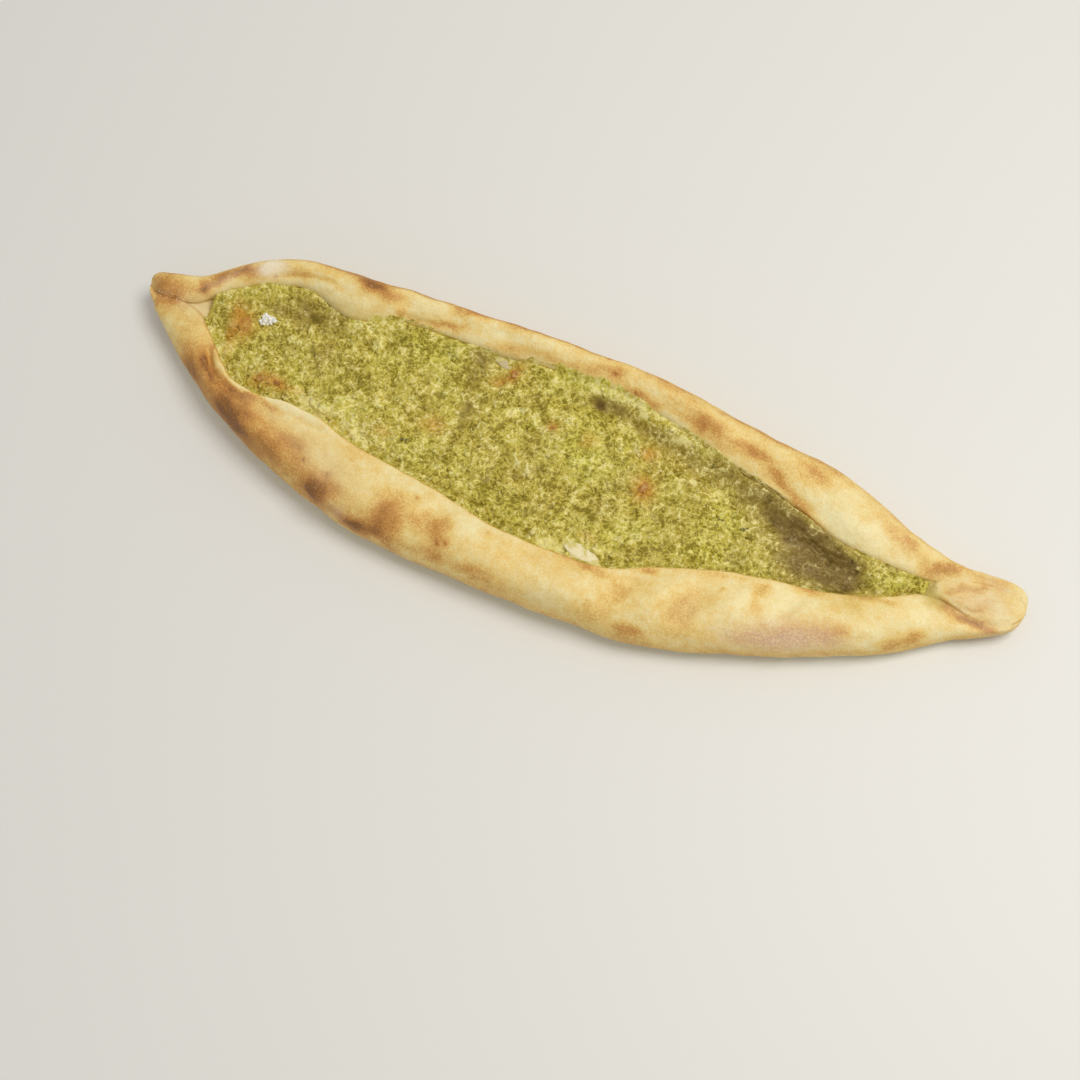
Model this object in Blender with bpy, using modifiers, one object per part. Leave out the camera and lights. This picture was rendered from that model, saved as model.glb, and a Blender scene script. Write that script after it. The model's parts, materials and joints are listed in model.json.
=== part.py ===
"""An open, boat-shaped sweet borek: a folded dough boat with pinched ends, holding a grainy green filling.

The pastry lies flat on its underside. X runs along its length, from the pointed nub at -X to the flat tab
at +X. Y runs from the near wall, the broad one, to the far wall. Z is up, with the table at z = 0.
Sizes are written in millimetres and turned into Blender's metres by MM.
"""

import math

import bmesh
import bpy
from mathutils import Matrix, Vector, noise

MM = 0.001

# Dough: the two ends, and the rings and points that its cage has before it is smoothed
NUB_END = -155.7
TAB_END = 156.1
DOUGH_RINGS = 44
TIP_STEPS = (1.2, 4.0)
FOOT_INSET = 9.0
FOOT_INSET_SHARE = 0.35
FOOT_FLAT = 0.25
TUCK_NEAR = 8.0
TUCK_FAR = 6.5
DOUGH_RELIEF = 1.3
RELIEF_LENGTH = 14.0
RELIEF_WIDTH = 9.0

# A wall's section, as shares: of the way across (to the middle, foot or lip), then of the way up to the crest
UNDER_FOOT = 0.55
FLARE = (0.18, 0.10)
BELLY_RISE = 0.36
SHOULDER = (0.07, 0.74)
CREST_ACROSS = 0.34
SLOPE = (0.70, 0.45)
LIP_ROUND = 0.4
LIP_LOW_SHARE = 0.8
FLOOR_FILLET = 0.6

# Outlines seen from above, as (x, y): the widest line of each wall, then the free edge of each folded lip
NEAR_EDGE = [(NUB_END, 14.5), (NUB_END + 1.2, 12), (-152, 9.8), (-137, -3.5), (-113, -19.5), (-82, -33),
             (-48, -41.8), (0, -44), (35, -43.6), (59, -39.6), (79, -33), (100, -25), (119, -16),
             (137, -3.4), (149, 3), (TAB_END - 1.2, 7.5), (TAB_END, 10)]
FAR_EDGE = [(NUB_END, 16.5), (NUB_END + 1.2, 19), (-152, 20.4), (-141, 22.8), (-128, 33.2), (-108, 42),
            (-84, 44.4), (-25, 45.6), (20, 45.2), (60, 39.5), (90, 35.8), (104, 30.5), (119, 24),
            (136, 20.3), (150, 21.5), (TAB_END - 1.2, 19), (TAB_END, 16)]
NEAR_LIP = [(NUB_END, 15), (-150, 11.5), (-136, 12), (-123.5, 3), (-117.5, -6.5), (-106, -10.5),
            (-88, -10), (-59, -15.5), (-29, -19.8), (-5, -25), (27, -25), (44, -18), (74, -9), (94, -6),
            (114, 0), (127, 7), (147, 2.8), (TAB_END, 11)]
FAR_LIP = [(NUB_END, 16), (-150, 12.5), (-137, 13), (-127, 22), (-109, 30), (-98, 32), (-88, 26),
           (-79, 26), (-69, 31.5), (-35, 32), (5, 34), (30, 30), (60, 21), (80, 17), (98, 11), (117, 10),
           (127, 11), (136, 16), (148, 18), (TAB_END, 15)]

# Heights along the length, as (x, z), then how much of its tuck each wall's inside stands back under the lip,
# and how far the far wall's foot reaches into the trough
UNDERSIDE = [(NUB_END, 9), (NUB_END + 1.2, 7), (-146, 5), (-134, 1.5), (-122, 0), (118, 0), (132, 1.2),
             (146, 3), (TAB_END - 1.2, 4.4), (TAB_END, 5.6)]
NEAR_CREST = [(NUB_END, 10.5), (-148, 12.5), (-134, 15.5), (-110, 18.3), (-80, 19), (-50, 19.8),
              (-20, 19.2), (10, 20), (45, 19), (70, 19.3), (100, 17.5), (125, 14), (137, 10.5),
              (150, 9.2), (TAB_END, 8.2)]
FAR_CREST = [(NUB_END, 11.5), (NUB_END + 1.2, 14), (-151, 16.3), (-146, 17), (-138, 16.5), (-110, 20.5),
             (-84, 22), (-60, 21.4), (-30, 22.4), (0, 21.8), (35, 22), (65, 21.2), (90, 21), (104, 18.5),
             (122, 15.5), (136, 12), (150, 10.4), (TAB_END, 8.6)]
NEAR_LIP_TOP = [(NUB_END, 10), (-148, 12), (-134, 14.5), (-100, 16.5), (60, 17), (100, 15.5),
                (124, 12.5), (134, 9.2), (150, 8.6), (TAB_END, 8)]
FAR_LIP_TOP = [(NUB_END, 10.3), (-148, 13), (-134, 14.5), (-100, 16), (60, 16.5), (100, 15.5),
               (124, 12.5), (134, 10.2), (150, 9.4), (TAB_END, 8.2)]
TROUGH_FLOOR = [(NUB_END, 9.8), (-148, 11), (-139, 12), (-133, 8), (-124, 4), (114, 4), (123, 8),
                (128, 14.2), (136, 12.5), (148, 10), (TAB_END, 8.2)]
LIP_THICKNESS = [(NUB_END, 0.4), (-142, 1.0), (-130, 4.4), (112, 4.4), (124, 1.5), (TAB_END, 0.4)]
NEAR_TUCK_SHARE = [(NUB_END, 0), (-137, 0), (-114, 1), (103, 1), (122, 0), (TAB_END, 0)]
FAR_TUCK_SHARE = [(NUB_END, 0), (-137, 0), (-114, 1), (62, 1), (78, 0), (TAB_END, 0)]
FAR_FOOT = [(NUB_END, 0), (64, 0), (82, 3.2), (96, 3.2), (108, 0), (TAB_END, 0)]

# Filling: its two ends, its middle height along the length, and the grain of its lumps
FILL_START = -132.0
FILL_END = 121.5
FILL_RINGS = 60
FILL_SIDE_GAP = 2.6
FILL_SIDE_LOOK = 2.5
FILL_FLOOR_GAP = 1.6
FILL_LIP_GAP = 0.8
FILL_TOP = [(FILL_START, 11), (-124, 12), (-100, 13.5), (0, 13.6), (50, 13), (68, 10.5), (95, 10), (106, 12),
            (118, 13), (FILL_END, 12.5)]
FILL_END_LENGTH = 9.0
FILL_TIP_GAP_SHARE = 0.4
FILL_CORNER = 4.0
FILL_CORNER_SHARE = 0.12
FILL_TOP_POINTS = 18
FILL_LEAST_DEPTH = 0.5
FILL_LIP_SHADE = 0.6
FILL_LIP_BLEND = 2.6
LUMP_SIZE = 6.5
LUMP_HEIGHT = 1.0

# The filling's lower sides: how many corner widths in from the side, and the share of the way up
FILL_SIDE = [(1.6, 0.18), (0.8, 0.35), (0, 0.75)]

# Hollows and heaps in the filling, as (x, y, length, width, turn in degrees, height)
FILL_FORMS = [(-86, 21, 26, 12, -8, -1.6),
              (-29, 29, 5, 14, 12, -2.6),
              (6, 30, 8, 6, 0, -3.0),
              (33, 25, 48, 7, -14, -2.2),
              (92, 5, 30, 9, -24, -1.6),
              (5, 35, 16, 8, 0, 1.2)]

# Pieces that lie in the filling, as (x, y, length, width, height, turn in degrees)
WHITE_CRUMB = (-110.7, 17.3, 5.2, 4.6, 3.4, 20)
TOASTED_BITS = [(-115.7, 9.3, 5.0, 8.0, 2.4, 12),
                (-103.7, -3.7, 8.0, 4.0, 2.2, 15),
                (30.3, 7.3, 6.5, 4.5, 2.6, 25),
                (-23.7, 28.5, 5.0, 4.0, 2.4, 60),
                (-38.7, 1.3, 4.5, 3.5, 2.0, 0),
                (8.3, 14.3, 4.0, 3.5, 2.0, 30)]


def along(knots):
    """The value of an outline at any x, on a smooth curve through its knots that never overshoots them."""
    def steepness(i):
        return (knots[i + 1][1] - knots[i][1]) / (knots[i + 1][0] - knots[i][0])

    def slope(i):
        before = steepness(max(i - 1, 0))
        after = steepness(min(i, len(knots) - 2))
        return 2 * before * after / (before + after) if before * after > 0 else 0

    def value(x):
        x = min(max(x, knots[0][0]), knots[-1][0])
        i = next(i for i in range(len(knots) - 1) if x <= knots[i + 1][0])
        (x0, y0), (x1, y1) = knots[i], knots[i + 1]
        span = x1 - x0
        t = (x - x0) / span
        rise = y0 * (1 + 2 * t) * (1 - t) ** 2 + y1 * t * t * (3 - 2 * t)
        return rise + span * (slope(i) * t * (1 - t) ** 2 - slope(i + 1) * t * t * (1 - t))

    return value


near_edge, far_edge = along(NEAR_EDGE), along(FAR_EDGE)
near_lip, far_lip = along(NEAR_LIP), along(FAR_LIP)
underside, trough_floor = along(UNDERSIDE), along(TROUGH_FLOOR)
near_crest, far_crest = along(NEAR_CREST), along(FAR_CREST)
near_lip_top, far_lip_top = along(NEAR_LIP_TOP), along(FAR_LIP_TOP)
lip_thickness = along(LIP_THICKNESS)
near_tuck_share, far_tuck_share = along(NEAR_TUCK_SHARE), along(FAR_TUCK_SHARE)
far_foot = along(FAR_FOOT)
fill_top = along(FILL_TOP)


def mix(a, b, share):
    """The value that lies the given share of the way from a to b."""
    return a + (b - a) * share


def ease(share):
    """A share between 0 and 1 with a soft start and end."""
    share = min(max(share, 0), 1)
    return share * share * (3 - 2 * share)


def near_tuck(x):
    """How far the near wall's inside stands back under its lip."""
    return TUCK_NEAR * near_tuck_share(x)


def far_tuck(x):
    """How far the far wall's inside stands back under its lip."""
    return TUCK_FAR * far_tuck_share(x)


def wall_points(edge, lip, crest, lip_top, tuck, reach, x):
    """One wall's section, as 11 (y, z) points from under the foot, round the outside and over to the floor."""
    low, floor, thick = underside(x), trough_floor(x), lip_thickness(x)
    middle = (near_edge(x) + far_edge(x)) / 2
    inward = 1 if middle > edge else -1
    foot = edge + inward * min(FOOT_INSET, FOOT_INSET_SHARE * abs(middle - edge))
    wavy = DOUGH_RELIEF * noise.noise(Vector((x / RELIEF_LENGTH, edge / RELIEF_WIDTH, 3)))
    rise = crest - low
    hidden = lip - inward * tuck
    return [(mix(middle, foot, UNDER_FOOT), low),
            (foot, low),
            (mix(edge, foot, FLARE[0]), low + FLARE[1] * rise),
            (edge, low + BELLY_RISE * rise),
            (mix(edge, lip, SHOULDER[0]), low + SHOULDER[1] * rise),
            (mix(edge, lip, CREST_ACROSS), crest + wavy),
            (mix(edge, lip, SLOPE[0]), mix(crest, lip_top, SLOPE[1]) + wavy),
            (lip - inward * LIP_ROUND, lip_top + LIP_ROUND),
            (lip + inward * LIP_ROUND, lip_top - LIP_LOW_SHARE * thick),
            (hidden, lip_top - thick),
            (hidden + inward * reach, floor + min(FLOOR_FILLET, thick / 4))]


def dough_section(x):
    """The dough's whole section at x, as 24 (y, z) points round it, from the middle of the underside."""
    near = wall_points(near_edge(x), near_lip(x), near_crest(x), near_lip_top(x), near_tuck(x), 0, x)
    far = wall_points(far_edge(x), far_lip(x), far_crest(x), far_lip_top(x), far_tuck(x), far_foot(x), x)
    bottom = ((near_edge(x) + far_edge(x)) / 2, underside(x))
    floor = ((near_lip(x) + far_lip(x)) / 2, trough_floor(x))
    return [bottom] + near + [floor] + far[::-1]


def form_height(x, y):
    """What the hollows and heaps add to the filling's height at (x, y)."""
    total = 0
    for form_x, form_y, length, width, turn, height in FILL_FORMS:
        offset = Matrix.Rotation(math.radians(-turn), 2) @ Vector((x - form_x, y - form_y))
        reach = (2 * offset.x / length) ** 2 + (2 * offset.y / width) ** 2
        total += height * math.exp(-reach)
    return total


def under_lip(x):
    """The height of the filling where a lip lies over it."""
    return min(near_lip_top(x), far_lip_top(x)) - lip_thickness(x) - FILL_LIP_GAP


def fill_height(x, y):
    """The height of the filling's upper face, which dips under both lips."""
    open_side = min(y - near_lip(x), far_lip(x) - y)
    lumps = LUMP_HEIGHT * noise.noise(Vector((x, y, 0)) / LUMP_SIZE)
    lumps += LUMP_HEIGHT / 2 * noise.noise(Vector((x, y, 40)) / (LUMP_SIZE / 2))
    middle = fill_top(x) + form_height(x, y) + lumps
    return mix(under_lip(x), middle, ease((open_side - FILL_LIP_SHADE) / FILL_LIP_BLEND))


def fill_section(x):
    """The filling's section at x, as 27 (y, z) points round it, from the middle of its underside."""
    end_share = ease((x - FILL_START) / FILL_END_LENGTH) * ease((FILL_END - x) / FILL_END_LENGTH)
    centre = (near_lip(x) + far_lip(x)) / 2
    side_gap = FILL_SIDE_GAP * mix(FILL_TIP_GAP_SHARE, 1, near_tuck_share(x))
    beside = [x - FILL_SIDE_LOOK, x, x + FILL_SIDE_LOOK]
    near = max(near_lip(place) - near_tuck(place) for place in beside) + side_gap
    far = min(far_lip(place) + far_tuck(place) - far_foot(place) for place in beside) - side_gap
    near, far = mix(centre, near, math.sqrt(end_share)), mix(centre, far, math.sqrt(end_share))
    low = trough_floor(x) + FILL_FLOOR_GAP
    high = max(under_lip(x), low + FILL_LEAST_DEPTH)
    corner = min(FILL_CORNER, FILL_CORNER_SHARE * (far - near))
    near_side = [(near + inset * corner, mix(low, high, rise)) for inset, rise in FILL_SIDE]
    far_side = [(far - inset * corner, mix(low, high, rise)) for inset, rise in FILL_SIDE[::-1]]
    top = [mix(near, far, (i + 0.5) / FILL_TOP_POINTS) for i in range(FILL_TOP_POINTS)]
    top = [(y, max(fill_height(x, y), high)) for y in top]
    bottom = [(mix(near, far, share), low) for share in (0.5, 0.3, 0.7)]
    return bottom[:2] + near_side + top + far_side + bottom[2:]


def stations(start, end, rings):
    """The x of both tips and of every ring: two rings close behind each tip, the others evenly spaced."""
    first, last = start + TIP_STEPS[-1], end - TIP_STEPS[-1]
    inner = rings + 1 - 2 * len(TIP_STEPS)
    even = [mix(first, last, i / inner) for i in range(inner + 1)]
    return [start, start + TIP_STEPS[0]] + even + [end - TIP_STEPS[0], end]


def loft(name, start, end, rings, section):
    """A closed skin through sections along X: a UV sphere whose rings are moved onto the sections."""
    places = stations(start, end, rings)
    sections = [section(x) for x in places]
    around = len(sections[0])
    bm = bmesh.new()
    bmesh.ops.create_uvsphere(bm, u_segments=around, v_segments=rings + 1, radius=1)
    for vert in bm.verts:
        ring = round(math.acos(max(-1, min(1, vert.co.z))) / math.pi * (rings + 1))
        points = sections[ring]
        if ring in (0, rings + 1):
            y = sum(point[0] for point in points) / around
            z = sum(point[1] for point in points) / around
        else:
            y, z = points[round(math.atan2(vert.co.y, vert.co.x) / math.tau * around) % around]
        vert.co = Vector((places[ring], y, z)) * MM
    bm.normal_update()
    mesh = bpy.data.meshes.new(name)
    bm.to_mesh(mesh)
    bm.free()
    mesh.shade_smooth()
    return bpy.data.objects.new(name, mesh)


def bit(name, x, y, length, width, height, turn):
    """A rounded piece half sunk in the filling's upper face."""
    bm = bmesh.new()
    bmesh.ops.create_icosphere(bm, subdivisions=2, radius=0.5)
    for vert in bm.verts:
        vert.co *= 1 + 0.25 * noise.noise(vert.co * 4 + Vector((x, y, 0)))
    place = Matrix.Translation(Vector((x, y, fill_height(x, y) + 0.1 * height)) * MM)
    spin = Matrix.Rotation(math.radians(turn), 4, "Z")
    size = Matrix.Diagonal((length * MM, width * MM, height * MM, 1))
    bmesh.ops.transform(bm, matrix=place @ spin @ size, verts=bm.verts)
    mesh = bpy.data.meshes.new(name)
    bm.to_mesh(mesh)
    bm.free()
    return bpy.data.objects.new(name, mesh)


def material(name, colour, roughness):
    """A plain Principled material."""
    mat = bpy.data.materials.new(name)
    mat.use_nodes = True
    shader = mat.node_tree.nodes["Principled BSDF"]
    shader.inputs["Base Color"].default_value = (*colour, 1)
    shader.inputs["Roughness"].default_value = roughness
    shader.inputs["Metallic"].default_value = 0
    return mat


def make_dough(collection):
    """The folded sheet of dough: flat underside, two walls with free lips, the nub and the tab."""
    dough = loft("dough", NUB_END, TAB_END, DOUGH_RINGS, dough_section)
    collection.objects.link(dough)
    smooth = dough.modifiers.new("Smooth", "SUBSURF")
    smooth.levels = 1
    smooth.render_levels = 1
    bpy.context.view_layer.objects.active = dough
    bpy.ops.object.modifier_apply(modifier=smooth.name)
    for vert in dough.data.vertices:
        vert.co.z = max(vert.co.z, FOOT_FLAT * MM)
    dough.data.materials.append(material("baked_dough", (0.74, 0.52, 0.26), 0.62))
    return dough


def make_filling(collection):
    """The filling in the trough, with the crumb and the toasted bits joined to it."""
    filling = loft("filling", FILL_START, FILL_END, FILL_RINGS, fill_section)
    collection.objects.link(filling)
    bits = bpy.data.collections.new("filling bits")
    bpy.context.scene.collection.children.link(bits)
    bits.objects.link(bit("white_crumb", *WHITE_CRUMB))
    for number, sizes in enumerate(TOASTED_BITS):
        bits.objects.link(bit(f"toasted_bit_{number}", *sizes))
    join = filling.modifiers.new("Bits", "BOOLEAN")
    join.operation = "UNION"
    join.operand_type = "COLLECTION"
    join.collection = bits
    join.solver = "EXACT"
    bpy.context.view_layer.objects.active = filling
    bpy.ops.object.modifier_apply(modifier=join.name)
    for piece in list(bits.objects):
        bpy.data.objects.remove(piece)
    bpy.data.collections.remove(bits)
    filling.data.materials.append(material("green_filling", (0.30, 0.26, 0.07), 0.45))
    return filling


def stand_at_origin(parts):
    """Move the parts so that the middle of their shared underside is at the origin."""
    bpy.context.view_layer.update()
    graph = bpy.context.evaluated_depsgraph_get()
    corners = [Vector(corner) for part in parts for corner in part.evaluated_get(graph).bound_box]
    low = [min(corner[axis] for corner in corners) for axis in range(3)]
    high = [max(corner[axis] for corner in corners) for axis in range(3)]
    shift = Vector((-(low[0] + high[0]) / 2, -(low[1] + high[1]) / 2, -low[2]))
    for part in parts:
        part.location = shift


def main():
    for item in list(bpy.data.objects):
        bpy.data.objects.remove(item)
    collection = bpy.data.collections.new("sweet borek")
    bpy.context.scene.collection.children.link(collection)
    stand_at_origin([make_dough(collection), make_filling(collection)])


main()
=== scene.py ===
"""The looks of an open, boat-shaped sweet borek, laid out as an add-on and run as a script.

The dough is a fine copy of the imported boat, with its folds, swells, blisters, browning and grains of flour.
The filling is a bed of curds pressed up to the lips. Loose grains, flakes and shreds lie on it, and a white
crumb, pale and toasted bits and dark specks. The places and sizes of details are in millimetres, in the frame
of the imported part; the properties hold Blender's metres.
"""

import json
import math

import bpy
import numpy as np
from mathutils import Matrix, Vector, noise
from mathutils.bvhtree import BVHTree

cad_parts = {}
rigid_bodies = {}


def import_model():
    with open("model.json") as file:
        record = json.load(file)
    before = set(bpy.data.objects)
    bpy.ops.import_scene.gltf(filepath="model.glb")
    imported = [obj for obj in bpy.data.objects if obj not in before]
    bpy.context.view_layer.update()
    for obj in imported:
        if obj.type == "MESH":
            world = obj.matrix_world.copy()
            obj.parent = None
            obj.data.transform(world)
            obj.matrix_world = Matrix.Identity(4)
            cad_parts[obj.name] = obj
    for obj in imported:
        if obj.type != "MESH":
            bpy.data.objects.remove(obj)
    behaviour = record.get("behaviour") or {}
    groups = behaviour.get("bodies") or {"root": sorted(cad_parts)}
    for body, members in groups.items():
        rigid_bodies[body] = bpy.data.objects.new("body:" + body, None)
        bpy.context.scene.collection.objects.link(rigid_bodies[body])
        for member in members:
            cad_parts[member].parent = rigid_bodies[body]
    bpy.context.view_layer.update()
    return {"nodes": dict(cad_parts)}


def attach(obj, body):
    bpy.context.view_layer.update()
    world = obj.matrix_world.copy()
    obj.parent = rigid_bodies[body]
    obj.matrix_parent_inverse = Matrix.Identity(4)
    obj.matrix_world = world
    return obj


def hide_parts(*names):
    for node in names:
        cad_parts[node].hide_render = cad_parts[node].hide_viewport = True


bl_info = {
    "name": "Sweet Borek",
    "version": (1, 0, 0),
    "blender": (4, 5, 0),
    "location": "View3D > Sidebar > Borek",
    "description": "Dough, filling, toppings and a plain studio for an open, boat-shaped sweet borek",
    "category": "Object",
}

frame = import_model()

MM = 0.001
UP = Vector((0, 0, 1))
LEVEL = np.array((1, 1, 0))
ALONG = np.array((1, 0, 0))

# The folded walls: soft swells and hollows, as (x, y, z, length, width, turn in degrees, height)
SWELLS = [
    (-133.5, 11.3, 8.5, 13, 9, 0, 2.4), (-146, 13.5, 14, 13, 11, 10, 0.7),
    (-91.5, -18.3, 18, 24, 9, -12, -1.8), (-82, -18, 18, 16, 8, 0, -0.7), (-86, -27, 17, 26, 8, -22, 0.98),
    (-101, -20, 17.5, 12, 7, -40, 0.7), (-107, -19, 17, 9, 6, -50, -0.56),
    (-66, -35.5, 14.5, 11, 9, 10, 1.12), (-57, -27, 18, 22, 12, -15, 0.56), (-41, -36, 17.4, 12, 9, 60, 0.7),
    (-28, -31, 18.4, 16, 8, 60, -1.12), (-13, -30, 18, 18, 13, 10, 0.84), (4, -33, 18, 16, 9, 60, -0.7),
    (21, -36, 17, 16, 12, 30, 0.7), (37, -32, 18.5, 17, 8, 62, -1.4), (49, -30, 18.5, 17, 6, 62, 1.12),
    (59, -28.5, 18, 17, 9, 66, -1.68), (72, -22, 18, 17, 9, 50, 0.84), (87, -17, 17.5, 14, 7, 60, -0.84),
    (98, -14, 17, 12, 7, 50, 0.56), (118, -6, 13, 14, 8, 30, 0.98), (124.5, 12.8, 13, 10, 7, 30, -1.1),
    (130, 15.1, 12.2, 6, 5, 10, 0.5), (142.8, 7.1, 10.8, 6, 4, 20, -0.5),
    (-78.3, 36.8, 20.4, 17, 7, -5, 1.12), (-66, 36, 19.8, 9, 5, 0, -0.7), (-47, 39.8, 20, 11, 5, -5, 0.98),
    (-105, 36, 18.5, 20, 7, 15, 0.7), (-92, 29, 17, 20, 7, 0, 0.7), (-58, 36, 19.4, 12, 6, 0, 0.42),
    (-33, 37, 19.7, 14, 6, 0, -0.7), (-15, 37, 19.5, 18, 7, -5, 0.7), (12, 38, 19.8, 12, 5, 0, -0.56),
    (30, 36, 20, 14, 6, -10, 0.56), (44, 32.5, 20, 16, 5, -20, 0.7), (56, 31, 20, 12, 6, -20, -0.56),
    (69, 29, 20, 12, 7, -25, 0.7), (82, 26, 19.6, 14, 8, -25, -0.56), (97, 17, 17.5, 16, 9, -30, 0.98),
    (111, 13.5, 15.5, 12, 6, -20, -0.56),
]

# Folds, creases and wrinkles in the skin, as (points, width, height)
FOLDS = [
    ([(-123.7, -0.2, 15.3), (-121.5, -4, 16), (-119, -8.5, 16.6), (-114.6, -14.8, 17)], 1.1, -1.1),
    ([(-152.5, 8, 9.5), (-148, 9.2, 11.5), (-142, 9.6, 13.2), (-136.5, 9.3, 14)], 0.7, -0.5),
    ([(-151, 6.5, 9), (-146, 7.2, 11), (-140, 7.4, 12.6)], 1.2, 0.4),
    ([(-151, 12.5, 12.5), (-146, 13, 13.5), (-140, 13.5, 14.5)], 2.6, 0.5),
    ([(-96, -17.5, 17.8), (-92, -20.5, 18.1), (-87, -22.6, 18.1), (-82, -23.4, 18.2), (-74, -27.5, 17.7)],
      1.3, -0.4),
    ([(-97, -20, 17.8), (-91.3, -22.7, 18.1), (-86, -24.6, 17.9)], 0.9, 0.35),
    ([(33, -37, 17), (38, -31, 18.5), (41, -24, 17.6)], 1.6, -0.3),
    ([(56, -35, 16.5), (59, -27, 18), (63, -20, 17.6)], 1.8, -0.35),
    ([(84, -22, 17), (88, -16, 17.4), (91, -10.5, 16.4)], 1.5, -0.3),
    ([(127.1, 8.1, 11.2), (127.9, 6.6, 11.6), (131.5, 5.5, 11.5), (135.3, 4.8, 10.8), (139, 3.9, 10),
      (142.2, 3.3, 9.5), (146.5, 3.2, 8.8)], 0.9, 0.5),
    ([(127.1, 8.1, 11.2), (127.8, 10.9, 11.1), (129.1, 13, 11.7)], 0.9, 0.7),
    ([(129.2, 4.2, 11), (132.6, 3.7, 10.3), (136.2, 3.0, 9.8), (140.7, 2.4, 9.3), (144.5, 2.2, 9.1)],
      1.5, -0.2),
    ([(129.3, 7.8, 12.3), (132.2, 10, 12.7), (136, 12.3, 12.3), (140, 15, 11.2), (145, 16.8, 10)], 1.8, -0.8),
    ([(134.7, 11.8, 12.5), (138.9, 14.2, 11.4)], 0.6, 0.3),
    ([(133.7, 6.5, 12.5), (135.9, 7.5, 12.3), (140.9, 9.7, 11.3)], 0.4, -0.35),
    ([(136.1, 4.9, 11.2), (138.2, 4.8, 11.3), (141.5, 5.4, 10.9), (143.8, 7.2, 10.6)], 0.5, -0.45),
    ([(144.1, 10.3, 10.6), (147, 11.6, 10), (149.5, 13, 9.4)], 0.45, -0.35),
    ([(137, 8.6, 12), (142, 11.2, 11), (147, 14, 9.9)], 0.4, -0.22),
    ([(141, 7.8, 11), (146, 8.0, 10.2), (150.5, 8.6, 9.2)], 0.4, -0.22),
    ([(-113, 30.2, 17), (-105, 32.7, 17.8), (-95, 33.9, 19.2), (-86, 32.5, 18.6)], 1.0, -0.35),
    ([(-67.5, 32.6, 17.4), (-60, 32.2, 16.8), (-52, 33.2, 17.4), (-46, 35, 18.5)], 1.0, -0.35),
]

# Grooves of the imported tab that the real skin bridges, as (points, width, how far round it is evened out)
BRIDGED = [
    ([(127.5, 11.4, 11), (130, 12.3, 10.8), (134, 14, 10.6), (138, 15.7, 10.4), (142, 16.6, 10.2),
      (146, 17, 9.7), (150, 16.4, 9), (154, 14.5, 8.5)], 2.4, 1.8),
    ([(138, 3.6, 9.4), (142, 3.2, 8.9), (146, 3.4, 8.6), (150, 4.8, 8.4), (153.5, 7, 8.2)], 1.8, 1.6),
    ([(127, 5.4, 10.6), (131, 4.4, 10), (136, 3.4, 9.5), (140, 2.7, 9.2), (144, 2.2, 9)], 2.4, 2.0),
]

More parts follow.
